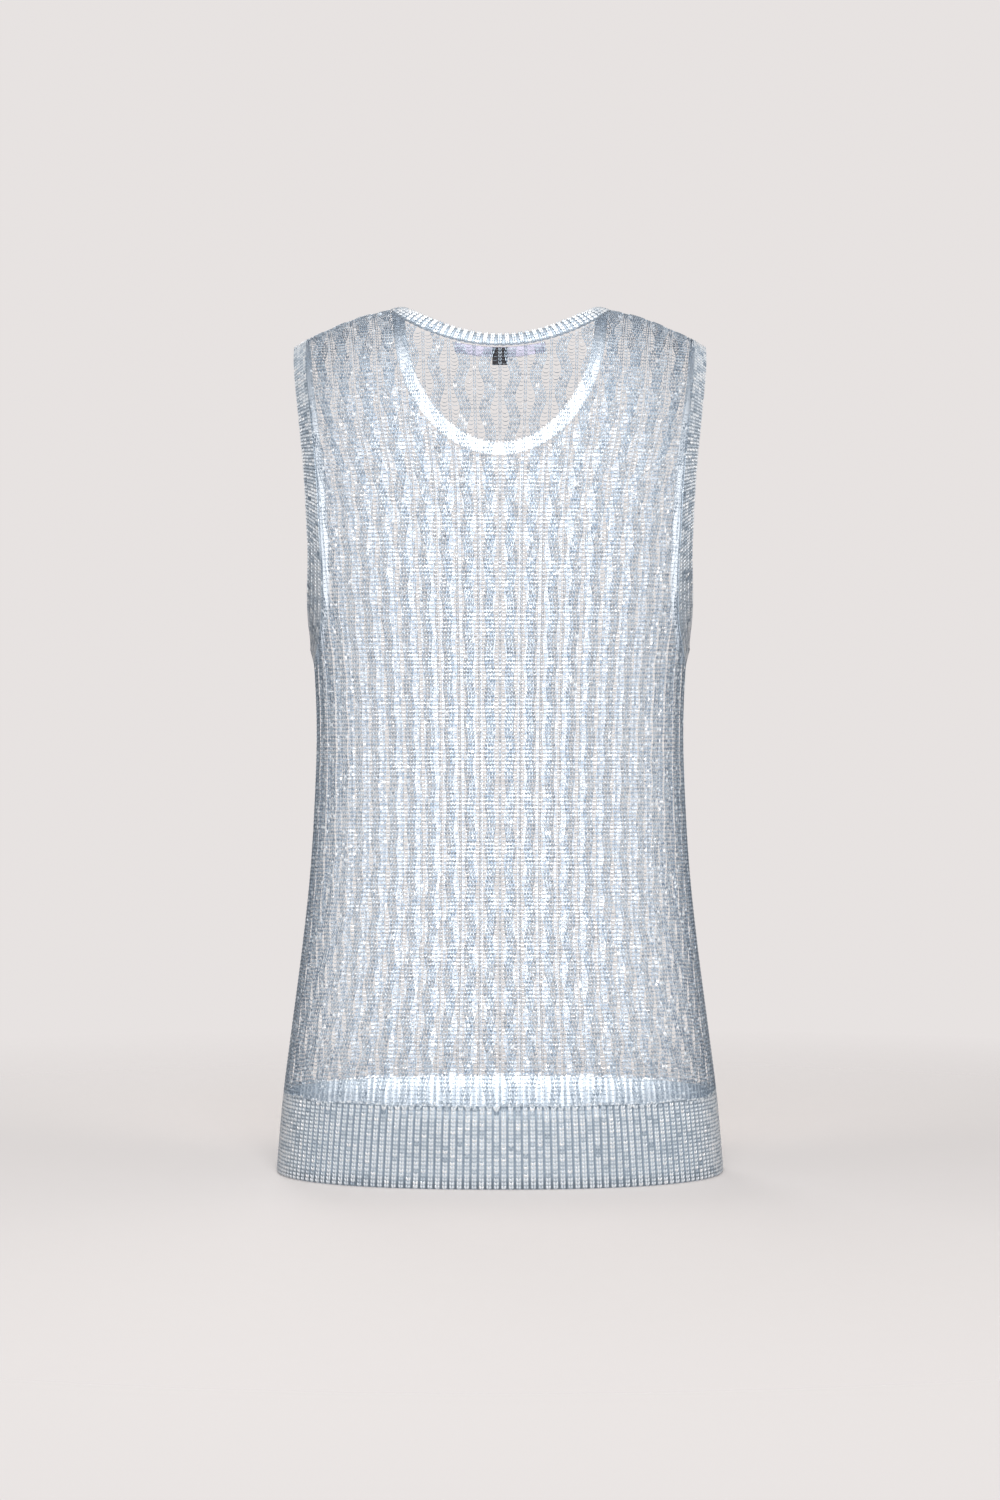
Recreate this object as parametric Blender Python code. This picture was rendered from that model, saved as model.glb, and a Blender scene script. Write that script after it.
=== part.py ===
"""A sleeveless knit top, filled out as it is worn, hollow and open at neck, armholes and hem.

Metres, +Z up. The origin lies between the two shoulders, at the height of the neck's highest
points: X runs across the top, -Y is the garment's back and +Y its front. Each piece is one
wall of cloth, closed round its edges: a plain inner face under an outer face that is lofted
through sections of the garment and raised where the knit has bands or ribs.
"""

import math
from collections import namedtuple

import bmesh
import bpy
import numpy as np

# ---------------------------------------------------------------- driving sizes
WALL = 0.0015  # ground of the knit, inside face to outside face
BAND_RAISE = 0.0008  # how far a dense band stands out of the open ground
RIB_RAISE = 0.0007
SEAM_GAP = 0.0003  # between neighbouring pieces
NECK_GAP = 0.0010  # the same at the neck, whose seam twists most
HEM_Z = -0.6870  # lowest edge of the hem rib
HEM_SEAM_Z = -0.6243
UNDERARM_Z = -0.2850  # where the side seam meets the armhole seam
ARMHOLE_Z = -0.2720  # lowest point of the armhole's free edge
ARMHOLE_MID_Z = -0.1900  # above this height the armhole edge runs nearly straight up
ARMHOLE_BAND = 0.0105  # width of the armhole band as seen from the back
UNDERARM_LIP = 0.0026  # how far the band stands off the body at the underarm
BAND_WALL = 0.0020
BAND_LIFT = 0.0004  # the folded band stands a little proud of the panel
TIP_X = 0.1640  # shoulder tip
SHOULDER_START_Z = -0.1500  # the cloth begins to turn over the shoulder here
SHOULDER_ROUND = 2.6
SECTION_ROUND = 2.3  # 2 is an ellipse, more is squarer
NECK_SEAM_X = 0.0875
NECK_EDGE_X = 0.0766
NECK_BAND = 0.0095  # how far the neck rib's free edge stands over its seam
NECK_EDGE_RISE = 0.0018  # the same where the rib crosses the shoulder line, nearly level
NECK_LEAN = 0.915  # the free edge's depth as a share of the seam's
NECK_BOW = 0.0010

REPEATS = 13.5  # lens-shaped openings from the centre line to a side seam
BAND_PERIOD = 0.037  # one full wave of a meandering band
BAND_SWING = 0.10  # sideways swing of a band, in repeats
HEM_RIBS = 86  # on each of the two hem pieces
NECK_RIB_STEP = 0.0030  # half a rib of the neck

# One row for each height: half width at the side seams, and how deep the back and the front lie.
Section = namedtuple("Section", "z half_width back front")
SECTIONS = (
    Section(-0.690, 0.1778, 0.124, 0.121),
    Section(-0.630, 0.1726, 0.118, 0.117),
    Section(-0.570, 0.1650, 0.109, 0.112),
    Section(-0.510, 0.1572, 0.100, 0.108),
    Section(-0.450, 0.1508, 0.094, 0.106),
    Section(-0.390, 0.1471, 0.094, 0.109),
    Section(-0.336, 0.1456, 0.098, 0.115),
    Section(-0.285, 0.1476, 0.102, 0.119),
    Section(-0.255, 0.1512, 0.103, 0.119),
    Section(-0.220, 0.1576, 0.104, 0.117),
    Section(-0.180, 0.1627, 0.103, 0.112),
    Section(-0.136, 0.1655, 0.101, 0.106),
    Section(-0.088, 0.1702, 0.098, 0.100),
    Section(-0.050, 0.1745, 0.095, 0.095),
    Section(0.020, 0.1780, 0.090, 0.090),
)

# The straight upper part of the armhole's free edge: how far out it stands at each height.
Edge = namedtuple("Edge", "z x")
ARMHOLE_EDGE = (
    Edge(-0.190, 0.1514),
    Edge(-0.136, 0.1544),
    Edge(-0.088, 0.1592),
    Edge(-0.050, 0.1632),
    Edge(-0.031, 0.1640),
    Edge(0.000, 0.1650),
)

# The shoulder line, seen from the back. Its first rows only carry the curve over the neck.
Ridge = namedtuple("Ridge", "x z")
SHOULDER_LINE = (
    Ridge(0.000, 0.0140),
    Ridge(0.040, 0.0090),
    Ridge(0.078, 0.0000),
    Ridge(0.113, -0.0080),
    Ridge(0.152, -0.0240),
    Ridge(0.164, -0.0310),
    Ridge(0.190, -0.0480),
)

# How wide one repeat of the knit is at the centre line.
Pitch = namedtuple("Pitch", "z width")
REPEAT_WIDTH = (
    Pitch(-0.690, 0.0172),
    Pitch(-0.600, 0.0165),
    Pitch(-0.520, 0.0155),
    Pitch(-0.430, 0.0153),
    Pitch(-0.300, 0.0159),
    Pitch(-0.240, 0.0165),
    Pitch(-0.140, 0.0174),
    Pitch(-0.080, 0.0195),
    Pitch(0.020, 0.0205),
)

# The two sides of the garment: which way they face, how deep the neck drops, and how pointed
# the neck's curve is (less is flatter).
Side = namedtuple("Side", "name facing neck_drop neck_round")
BACK = Side("back", -1.0, 0.0352, 1.65)
FRONT = Side("front", 1.0, 0.1040, 1.0)

PANEL_ROWS_BELOW = 18  # from the hem seam up to the underarm
# Rows above the underarm, as distances along the cloth; the first ones follow the armhole's turn.
ROWS_ABOVE = (0.002, 0.006, 0.013, 0.024, 0.040, 0.0585, 0.077, 0.0955, 0.114, 0.1325,
              0.151, 0.1695, 0.188, 0.2065, 0.225, 0.2435, 0.258, 0.270)
LENGTH_ABOVE = 0.278
NECK_EXTRA = (0.85, 0.93, 0.975, 0.994, 1.0)  # where the neck's own columns end, as shares of its half width
NECK_MOVE = 0.15  # a regular column this close, in repeats, is bent there
NECK_BEND = (0.25, 0.85)  # they part from the regular ones between these shares of the way up
NORMAL_STEP = 0.0004  # for reading which way the surface faces
# How finely the garment's form is worked out before the pieces are read from it.
SECTION_STEPS, COLUMN_STEPS, ROW_STEPS = 97, 217, 121


# ---------------------------------------------------------------- the shape of the garment
def along(table, field, at):
    """A smooth curve through one column of a table, read at places along its first column."""
    keys = np.array([row[0] for row in table])
    values = np.array([getattr(row, field) for row in table])
    low, high = np.r_[0, :len(keys) - 1], np.r_[1:len(keys), len(keys) - 1]
    slopes = (values[high] - values[low]) / (keys[high] - keys[low])
    at = np.clip(at, keys[0], keys[-1])
    i = np.clip(np.searchsorted(keys, at, "right") - 1, 0, len(keys) - 2)
    span = keys[i + 1] - keys[i]
    t = (at - keys[i]) / span
    start = values[i] * (2 * t**3 - 3 * t**2 + 1) + slopes[i] * span * (t**3 - 2 * t**2 + t)
    return start + values[i + 1] * (3 * t**2 - 2 * t**3) + slopes[i + 1] * span * (t**3 - t**2)


def quarter_oval(t, power=2.2):
    """1 at t = 0, falling to 0 at t = 1 along a quarter of an oval."""
    return (1 - np.clip(t, 0.0, 1.0) ** power) ** (1 / power)


def superellipse(share, power=SECTION_ROUND):
    """1 at the middle of a section, falling to 0 at its side."""
    return (1 - np.clip(share, 0.0, 1.0) ** power) ** (1 / power)


def depth(side, x, z):
    """How far the cloth lies from the plane of the shoulder line, at one place seen from the back."""
    share = np.abs(x) / along(SECTIONS, "half_width", z)
    level = along(SECTIONS, side.name, z) * superellipse(share)
    ridge = along(SHOULDER_LINE, "z", np.abs(x))
    turn = (z - SHOULDER_START_Z) / (ridge - SHOULDER_START_Z)
    return level * superellipse(turn, SHOULDER_ROUND)


def form(side, spots):
    """1 on the garment's surface, less inside it and more outside, at a set of points."""
    x, y, z = np.abs(spots[:, 0]), np.abs(spots[:, 1]), spots[:, 2]
    share = x / along(SECTIONS, "half_width", z)
    deepest = along(SECTIONS, side.name, z)
    ridge = along(SHOULDER_LINE, "z", x)
    turn = np.clip((z - SHOULDER_START_Z) / (ridge - SHOULDER_START_Z), 0.0, None)
    if spots[0, 2] < SHOULDER_START_Z:
        return share**SECTION_ROUND + (y / deepest) ** SECTION_ROUND
    return (y / (deepest * superellipse(share))) ** SHOULDER_ROUND + turn**SHOULDER_ROUND


def section_run(side, z):
    """Points of level sections from the centre line to the side, and their distance along it."""
    angles = np.linspace(0.0, math.pi / 2, SECTION_STEPS)
    across = np.atleast_1d(along(SECTIONS, "half_width", z))[:, None]
    across = across * np.sin(angles) ** (2 / SECTION_ROUND)
    deep = np.atleast_1d(along(SECTIONS, side.name, z))[:, None]
    deep = deep * np.cos(angles) ** (2 / SECTION_ROUND)
    steps = np.hypot(np.diff(across), np.diff(deep))
    return across, np.pad(np.cumsum(steps, axis=1), ((0, 0), (1, 0)))


def place_across(side, s, z):
    """x of the knit's repeat s at height z. At the centre line a repeat has its own width there,
    and towards the side seams the repeats share what is left."""
    s, z = (np.ravel(part) for part in np.broadcast_arrays(s, z))
    across, run = section_run(side, z)
    low_z = np.minimum(z, UNDERARM_Z)
    low_run = section_run(side, low_z)[1][:, -1]
    left_over = low_run - REPEATS * along(REPEAT_WIDTH, "width", low_z)
    distance = along(REPEAT_WIDTH, "width", z) * np.abs(s) + left_over * (np.abs(s) / REPEATS) ** 3
    found = [np.interp(d, r, a) for d, r, a in zip(distance, run, across)]
    return np.copysign(found, s)


def top_z(side, x):
    """Height where the cloth ends at the top: the neck seam or the shoulder line."""
    corner = along(SHOULDER_LINE, "z", NECK_SEAM_X)
    rise = np.sqrt(np.clip(1 - (x / NECK_SEAM_X) ** 2, 0.0, 1.0)) ** side.neck_round
    neck = corner - side.neck_drop * rise
    return np.where(np.abs(x) < NECK_SEAM_X, neck, along(SHOULDER_LINE, "z", np.abs(x)))


def column_tops(side, s):
    """The heights at which columns of the knit reach the top edge."""
    low, high = np.full(len(s), UNDERARM_Z), np.zeros(len(s))
    for _ in range(24):
        middle = (low + high) / 2
        under = middle < top_z(side, place_across(side, s, middle))
        low, high = np.where(under, middle, low), np.where(under, high, middle)
    return (low + high) / 2


def seam_x(z):
    """Where the armhole seam runs, seen from the back, in its straight upper part."""
    return along(ARMHOLE_EDGE, "x", z) - ARMHOLE_BAND


def armhole_turn(z, lowest):
    """The rounded bottom of the armhole: 1 at its straight upper part, 0 at its lowest point."""
    return quarter_oval((ARMHOLE_MID_Z - z) / (ARMHOLE_MID_Z - lowest))


def beyond_armhole(side, spot):
    """True where the cloth of the panel has ended at the armhole seam."""
    x, y, z = spot
    if z >= ARMHOLE_MID_Z:
        return abs(x) > seam_x(z)
    deepest = depth(side, seam_x(ARMHOLE_MID_Z), ARMHOLE_MID_Z)
    return abs(y) < deepest * armhole_turn(z, UNDERARM_Z)


class Cloth:
    """One side of the garment as a sheet whose points are read by knit column and row.

    A row is a pair: whether it lies above the underarm, and its height or, above the underarm,
    its share of each column's way up to the top edge.
    """

    def __init__(self, side):
        self.side = side
        self.columns = np.linspace(-REPEATS, REPEATS, COLUMN_STEPS)
        self.places = {
            False: np.linspace(HEM_SEAM_Z, UNDERARM_Z, ROW_STEPS),
            True: np.linspace(0.0, 1.0, ROW_STEPS),
        }
        tops = column_tops(side, self.columns)[:, None]
        rough = UNDERARM_Z + (tops - UNDERARM_Z) * np.sin(self.places[True] * math.pi / 2)
        spots = self.spots(rough)
        run = np.cumsum(np.linalg.norm(np.diff(spots, axis=1), axis=2), axis=1)
        run = np.pad(run, ((0, 0), (1, 0)))
        even = [np.interp(self.places[True] * r[-1], r, z) for r, z in zip(run, rough)]
        below = np.broadcast_to(self.places[False], (COLUMN_STEPS, ROW_STEPS))
        self.grids = {False: self.spots(below), True: self.spots(np.array(even))}

    def spots(self, heights):
        s = np.broadcast_to(self.columns[:, None], heights.shape)
        x = place_across(self.side, s, heights).reshape(heights.shape)
        y = self.side.facing * depth(self.side, x, heights)
        return np.stack([x, y, heights], axis=2)

    def at(self, s, row):
        above, place = row
        grid, places = self.grids[above], self.places[above]
        across = (s - self.columns[0]) / (self.columns[1] - self.columns[0])
        up = (place - places[0]) / (places[1] - places[0])
        i = int(min(max(across, 0), COLUMN_STEPS - 2))
        j = int(min(max(up, 0), ROW_STEPS - 2))
        u, v = across - i, up - j
        low = grid[i, j] * (1 - u) + grid[i + 1, j] * u
        high = grid[i, j + 1] * (1 - u) + grid[i + 1, j + 1] * u
        return low * (1 - v) + high * v

    def outward(self, s, row):
        """Unit normal of the cloth, out of the garment."""
        spot = self.at(s, row)
        steps = np.concatenate([np.eye(3), -np.eye(3)]) * NORMAL_STEP
        values = form(self.side, spot + steps)
        slope = values[:3] - values[3:]
        return slope / np.linalg.norm(slope)

    def edge_repeat(self, row):
        """The repeat where a row reaches the armhole seam, or the side seam below the underarm."""
        if not row[0] or row[1] == 0.0:
            return REPEATS
        inside, outside = 5.0, REPEATS
        for _ in range(24):
            middle = (inside + outside) / 2
            if beyond_armhole(self.side, self.at(middle, row)):
                outside = middle
            else:
                inside = middle
        return inside


def panel_rows():
    step = (UNDERARM_Z - HEM_SEAM_Z) / PANEL_ROWS_BELOW
    below = [(False, HEM_SEAM_Z + step * i) for i in range(PANEL_ROWS_BELOW + 1)]
    return below + [(True, place / LENGTH_ABOVE) for place in ROWS_ABOVE] + [(True, 1.0)]


def row_length(row):
    """Distance of a row from the hem seam along the cloth."""
    above, place = row
    return UNDERARM_Z - HEM_SEAM_Z + place * LENGTH_ABOVE if above else place - HEM_SEAM_Z


def band_share(s):
    """1 on a band, which lies between two whole repeats, falling to 0 on the chains of stitches."""
    return 1 - abs(2 * (abs(s) % 1) - 1)


def swing(s, row):
    """Sideways swing of a band. Neighbours swing in opposite ways, which opens lenses between
    them, and it dies away towards the top edge."""
    above, place = row
    way = 1 if math.floor(s) % 2 else -1
    wave = math.cos(2 * math.pi * row_length(row) / BAND_PERIOD)
    return way * band_share(s) * BAND_SWING * wave * (1 - place**8 if above else 1.0)


def off_seam(side, spot):
    """Keeps half a seam's gap to the plane where back and front meet."""
    deep = max(side.facing * spot[1], SEAM_GAP / 2)
    return np.array([spot[0], side.facing * deep, spot[2]])


def neck_columns(cloth, columns):
    """Columns that end at and beside the neck corner, where the seam turns most, each with the
    regular column it parts from. Where a regular column is close, it is bent there instead."""
    tops = cloth.grids[True][:, -1, 0]
    bent, added = {}, {}
    for share in NECK_EXTRA:
        s = float(np.interp(share * NECK_SEAM_X, tops, cloth.columns))
        near = min(columns, key=lambda c, s=s: abs(c - s))
        if abs(near - s) < NECK_MOVE and near not in bent:
            bent[near] = s
        else:
            added[s] = near
    regular = [(c, bent.get(c, c)) for c in columns]
    return sorted(regular + [(near, s) for s, near in added.items()], key=lambda pair: pair[1])


def panel_face(cloth, rows, columns, raised, offset):
    """Rows of points for one face of a panel. columns holds repeats from the centre line to the
    side seam, and raised says that the bands among them stand out."""
    side = cloth.side
    closest = 0.3 * (columns[2] - columns[1])
    half = neck_columns(cloth, columns)
    corner = max(end for start, end in half if start != end)
    corner_spot = np.array([NECK_SEAM_X, 0.0, along(SHOULDER_LINE, "z", NECK_SEAM_X)])
    signed = [(-1.0, pair) for pair in reversed(half)] + [(1.0, (0.0, 0.0))]
    signed += [(1.0, pair) for pair in half]
    face = []
    for row in rows:
        edge = cloth.edge_repeat(row)
        bend = np.clip((row[1] - NECK_BEND[0]) / (NECK_BEND[1] - NECK_BEND[0]), 0.0, 1.0)
        bend = bend**2 * (3 - 2 * bend) if row[0] else 0.0
        spots = []
        for way, (start, end) in signed:
            own = start + (end - start) * bend
            at = way * (own if own < edge - closest else edge)
            band = band_share(at) if raised and own < edge - closest else 0.0
            spot = cloth.at(at + (swing(at, row) if band else 0.0), row)
            if row == rows[-1] and end == corner:
                spot = corner_spot * (way, 1.0, 1.0)
            spot = spot + cloth.outward(at, row) * (BAND_RAISE * band + offset)
            spot[2] = HEM_SEAM_Z if row == rows[0] else spot[2]
            spots.append(off_seam(side, spot))
        face.append(spots)
    return face


# ---------------------------------------------------------------- walls from two faces
def zipped(first, second):
    """Triangles between two runs of vertices that may differ in number."""
    def shares(run):
        steps = [(b.co - a.co).length for a, b in zip(run, run[1:])]
        total = sum(steps) or 1.0
        return [sum(steps[:i]) / total for i in range(len(run))]

    at_first, at_second = shares(first), shares(second)
    i = j = 0
    faces = []
    while i < len(first) - 1 or j < len(second) - 1:
        go_first = j == len(second) - 1 or (
            i < len(first) - 1 and at_first[i + 1] <= at_second[j + 1]
        )
        if go_first:
            faces.append((first[i], first[i + 1], second[j]))
            i += 1
        else:
            faces.append((first[i], second[j + 1], second[j]))
            j += 1
    return faces


def unrepeated(run):
    return [v for i, v in enumerate(run) if i == 0 or v is not run[i - 1]]


def make_wall(name, outer, inner, closed, material, collection):
    """One closed wall between an outer and an inner face, each given as rows of points."""
    mesh = bmesh.new()
    known = {}

    def vertex(spot):
        key = tuple(int(round(value * 1e7)) for value in spot)
        if key not in known:
            known[key] = mesh.verts.new(spot)
        return known[key]

    def add(corners):
        corners = unrepeated(list(corners))
        if corners[0] is corners[-1]:
            corners.pop()
        if len(set(corners)) == len(corners) >= 3:
            mesh.faces.new(corners)

    faces = [[[vertex(spot) for spot in row] for row in rows] for rows in (outer, inner)]
    for rows in faces:
        for low, high in zip(rows, rows[1:]):
            for i in range(len(low) - (not closed)):
                k = (i + 1) % len(low)
                add((low[i], low[k], high[k], high[i]))
    rims = [(faces[0][end], faces[1][end]) for end in (0, -1)]
    if closed:
        rims = [(first + first[:1], second + second[:1]) for first, second in rims]
    else:
        rims += [([row[end] for row in faces[0]], [row[end] for row in faces[1]]) for end in (0, -1)]
    for first, second in rims:
        for corners in zipped(unrepeated(first), unrepeated(second)):
            add(corners)
    bmesh.ops.recalc_face_normals(mesh, faces=mesh.faces)
    if mesh.calc_volume(signed=True) < 0:
        bmesh.ops.reverse_faces(mesh, faces=mesh.faces)
    bmesh.ops.triangulate(mesh, faces=mesh.faces)
    data = bpy.data.meshes.new(name)
    mesh.to_mesh(data)
    mesh.free()
    data.shade_smooth()
    data.set_sharp_from_angle(angle=math.radians(50))
    data.materials.append(material)
    piece = bpy.data.objects.new(name, data)
    collection.objects.link(piece)
    return piece


def run_shares(polyline):
    """How far along a polyline each of its points lies, from 0 to 1."""
    run = np.cumsum(np.linalg.norm(np.diff(polyline, axis=0), axis=1))
    return np.concatenate([[0.0], run / run[-1]])


def at_shares(polyline, shares):
    """Points at shares of a polyline's length."""
    own = run_shares(polyline)
    return np.stack([np.interp(shares, own, polyline[:, axis]) for axis in range(3)], axis=1)


def make_material(name, color, roughness, metallic):
    material = bpy.data.materials.new(name)
    material.use_nodes = True
    shader = material.node_tree.nodes["Principled BSDF"]
    shader.inputs["Base Color"].default_value = (*color, 1.0)
    shader.inputs["Roughness"].default_value = roughness
    shader.inputs["Metallic"].default_value = metallic
    material.diffuse_color = (*color, 1.0)
    return material


# ---------------------------------------------------------------- the pieces
OUTER_COLUMNS = [i / 2 for i in range(1, int(2 * REPEATS) + 1)]
INNER_COLUMNS = [float(i) for i in range(1, int(REPEATS) + 1)] + [REPEATS]


def panel(side, material, collection):
    cloth = Cloth(side)
    rows = panel_rows()
    outer = panel_face(cloth, rows, OUTER_COLUMNS, True, 0.0)
    inner_rows = rows[:PANEL_ROWS_BELOW:2] + rows[PANEL_ROWS_BELOW:]
    inner = panel_face(cloth, inner_rows, INNER_COLUMNS, False, -WALL)
    make_wall(f"{side.name}_panel", outer, inner, False, material, collection)
    return outer, inner


def hem_rib(side, material, collection):
    """Half of the hem's knit-one purl-one rib: every other column of the outer face stands out."""
    heights = [HEM_SEAM_Z - SEAM_GAP, (HEM_SEAM_Z + HEM_Z) / 2, HEM_Z]

    def row(z, count, raise_by, offset):
        across, run = section_run(side, z)
        spots = []
        for i in range(-count, count + 1):
            x = np.copysign(np.interp(abs(i) / count * run[0, -1], run[0], across[0]), i)
            before, after = (depth(side, x + step, z) for step in (-0.001, 0.001))
            slope = np.array([(before - after) / 0.002, side.facing, 0.0])
            if abs(i) == count:
                slope = np.array([np.sign(i), 0.0, 0.0])
            lift = offset + (raise_by if i % 2 else 0.0)
            spot = np.array([x, side.facing * depth(side, x, z), z])
            spots.append(off_seam(side, spot + slope / np.linalg.norm(slope) * lift))
        return spots

    outer = [row(z, HEM_RIBS, RIB_RAISE, 0.0) for z in heights]
    inner = [row(z, HEM_RIBS // 4, 0.0, -WALL) for z in heights]
    make_wall(f"hem_rib_{side.name}", outer, inner, False, material, collection)


def armhole_run(face, way):
    """A panel's own edge along the armhole, from the underarm to the shoulder tip."""
    return np.array([row[-1 if way > 0 else 0] for row in face[-len(ROWS_ABOVE) - 2:]])


def free_edge(side, way, shares):
    """The armhole band's free edge on one side of the garment, at shares of its length."""
    turns = np.linspace(0.0, math.pi, 61)
    tip_z = along(SHOULDER_LINE, "z", TIP_X)
    z = (ARMHOLE_Z + tip_z) / 2 - (tip_z - ARMHOLE_Z) / 2 * np.cos(turns)
    straight = np.minimum(along(ARMHOLE_EDGE, "x", z), TIP_X)
    turn = armhole_turn(z, ARMHOLE_Z)
    deep = depth(side, straight, z) * turn
    section = along(SECTIONS, "half_width", z)
    low = section * superellipse(deep / along(SECTIONS, side.name, z)) + UNDERARM_LIP * (1 - turn)
    x = np.where(z < ARMHOLE_MID_Z, low, straight)
    return at_shares(np.stack([way * x, side.facing * deep, z], axis=1), shares)


def ring_rows(starts, ends, lifts, bow, gap):
    """Three rows of a ring from its seam to its free edge. lifts raises single columns, bow
    rounds the ring outwards between its edges, and gap keeps it clear of the seam."""
    following = np.roll(starts, -1, axis=0) - np.roll(starts, 1, axis=0)
    across = ends - starts
    normals = np.cross(across, following)
    across = across / np.linalg.norm(across, axis=1)[:, None]
    normals = normals / np.linalg.norm(normals, axis=1)[:, None]
    rows = []
    for share in (0.0, 0.5, 1.0):
        clear = across * gap * (1 - share)
        lift = (lifts + bow * 4 * share * (1 - share))[:, None] * normals
        rows.append(list(starts + (ends - starts) * share + clear + lift))
    return rows


def armhole_band(name, way, faces, material, collection):
    """A plain knitted band all round an armhole, sewn to the edges of both panels."""
    walls = []
    for layer, lift in ((0, BAND_LIFT), (1, BAND_LIFT - BAND_WALL)):
        starts, ends = [], []
        for side, runs in zip((BACK, FRONT), faces):
            run = armhole_run(runs[layer], way)
            edge = free_edge(side, way, run_shares(run))
            if side is FRONT:
                run, edge = run[::-1], edge[::-1]
            starts.append(run)
            ends.append(edge)
        starts, ends = np.concatenate(starts), np.concatenate(ends)
        if way < 0:
            starts, ends = starts[::-1], ends[::-1]
        if layer:
            lifts = np.zeros(len(starts))
            free = ring_rows(starts, ends, lifts + lift, 0.0, SEAM_GAP)[2]
            walls.append(ring_rows(starts, np.array(free), lifts, 0.0, SEAM_GAP))
        else:
            walls.append(ring_rows(starts, ends, np.full(len(starts), lift), 0.0, SEAM_GAP))
    make_wall(name, walls[0], walls[1], True, material, collection)


def neck_loop(faces, layer, step):
    """The panels' own top edges between the two neck corners, as one loop with added points."""
    loop = []
    for side, runs in zip((BACK, FRONT), faces):
        run = [spot for spot in runs[layer][-1] if abs(spot[0]) < NECK_SEAM_X + 0.0010]
        run = run[::-1] if side is BACK else run
        for start, end in zip(run, run[1:]):
            count = max(2 * round(np.linalg.norm(end - start) / (2 * step)), 2)
            loop += [start + (end - start) * i / count for i in range(count)]
        loop.append(run[-1])
    return np.array(loop)


def neck_rib(faces, material, collection):
    """A low rib round the neck, knit one purl one, that stands up out of the neck seam."""
    walls = []
    for layer, raise_by in ((0, RIB_RAISE), (1, 0.0)):
        starts = neck_loop(faces, layer, NECK_RIB_STEP * (1 + 2 * layer))
        corner = np.abs(starts[:, 0]) / NECK_SEAM_X
        rise = NECK_BAND - (NECK_BAND - NECK_EDGE_RISE) * corner**6
        narrower = np.array([NECK_EDGE_X / NECK_SEAM_X, NECK_LEAN, 1.0])
        ends = starts * narrower
        ends[:, 2] += rise
        lifts = raise_by * (np.arange(len(starts)) % 2)
        walls.append(ring_rows(starts, ends, lifts, NECK_BOW, NECK_GAP))
    make_wall("neck_rib", walls[0], walls[1], True, material, collection)


def inside_patch(name, inner, half_span, drops, offset, thickness, material, collection):
    """A flat strip that lies inside the back, made from the back's own inner points and moved in."""
    top, below = np.array(inner[-1]), np.array(inner[-2])
    middle = len(top) // 2
    length = np.linalg.norm(below[middle] - top[middle])
    columns = [i / 4 * half_span for i in range(-4, 5)]

    def face(lift):
        rows = []
        for drop in drops:
            line = top + (below - top) * (drop / length)
            spots = []
            for x in columns:
                y, z = (np.interp(x, line[:, 0], line[:, axis]) for axis in (1, 2))
                spots.append(np.array([x, y + lift, z]))
            rows.append(spots)
        return rows

    make_wall(name, face(offset), face(offset + thickness), False, material, collection)


def build():
    for item in list(bpy.data.objects):
        bpy.data.objects.remove(item, do_unlink=True)
    collection = bpy.data.collections.new("knit_top")
    bpy.context.scene.collection.children.link(collection)
    knit = make_material("open_knit", (0.60, 0.66, 0.72), 0.42, 0.35)
    rib = make_material("rib_knit", (0.50, 0.56, 0.63), 0.40, 0.35)
    tape = make_material("neck_tape", (0.60, 0.58, 0.66), 0.80, 0.0)
    tab = make_material("size_tab", (0.012, 0.012, 0.014), 0.75, 0.0)

    back = panel(BACK, knit, collection)
    front = panel(FRONT, knit, collection)
    for side in (BACK, FRONT):
        hem_rib(side, rib, collection)
    armhole_band("armhole_band_right", 1.0, (back, front), rib, collection)
    armhole_band("armhole_band_left", -1.0, (back, front), rib, collection)
    neck_rib((back, front), rib, collection)
    inside_patch("neck_tape", back[1], 0.0355, (0.0005, 0.0055, 0.0105), 0.0005, 0.0010,
                 tape, collection)
    inside_patch("size_tab", back[1], 0.0060, (0.0030, 0.0110, 0.0190), 0.0019, 0.0010,
                 tab, collection)


build()
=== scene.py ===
# %% [markdown]
# # A sleeveless knit top in ladder stitch
# The top is knitted from one fine yarn with a metal-look strand in it. Every surface is made of
# stitches, so this lesson builds it that way too: one leg of a stitch and one loose rung are
# modelled by hand, and arrays then set thousands of copies on the shape of the garment. First the
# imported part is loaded, because it gives the frame that every piece has to fit.

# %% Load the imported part
import math
from collections import namedtuple

import bpy
import numpy as np
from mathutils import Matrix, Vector


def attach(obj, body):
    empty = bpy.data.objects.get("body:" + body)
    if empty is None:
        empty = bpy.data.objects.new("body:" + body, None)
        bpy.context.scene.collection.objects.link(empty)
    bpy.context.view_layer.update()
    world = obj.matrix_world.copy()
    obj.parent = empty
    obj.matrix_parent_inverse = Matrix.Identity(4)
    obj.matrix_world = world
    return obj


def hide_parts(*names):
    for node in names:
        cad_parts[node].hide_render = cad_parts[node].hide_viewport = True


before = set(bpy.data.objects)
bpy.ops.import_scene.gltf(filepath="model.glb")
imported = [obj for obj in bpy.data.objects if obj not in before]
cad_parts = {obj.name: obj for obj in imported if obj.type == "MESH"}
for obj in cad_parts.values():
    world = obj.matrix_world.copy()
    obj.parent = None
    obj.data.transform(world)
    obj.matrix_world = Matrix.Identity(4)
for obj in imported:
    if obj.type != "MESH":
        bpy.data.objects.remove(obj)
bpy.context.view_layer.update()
rng = np.random.default_rng(7)

# %% [markdown]
# ## The shape of the garment
# A worn top is round, so a level cut through it is an oval. A short table gives the half width
# and the two depths at each height, and smooth curves through the rows give every height between.
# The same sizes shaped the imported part, so stitches placed on these curves lie on its walls.

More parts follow.
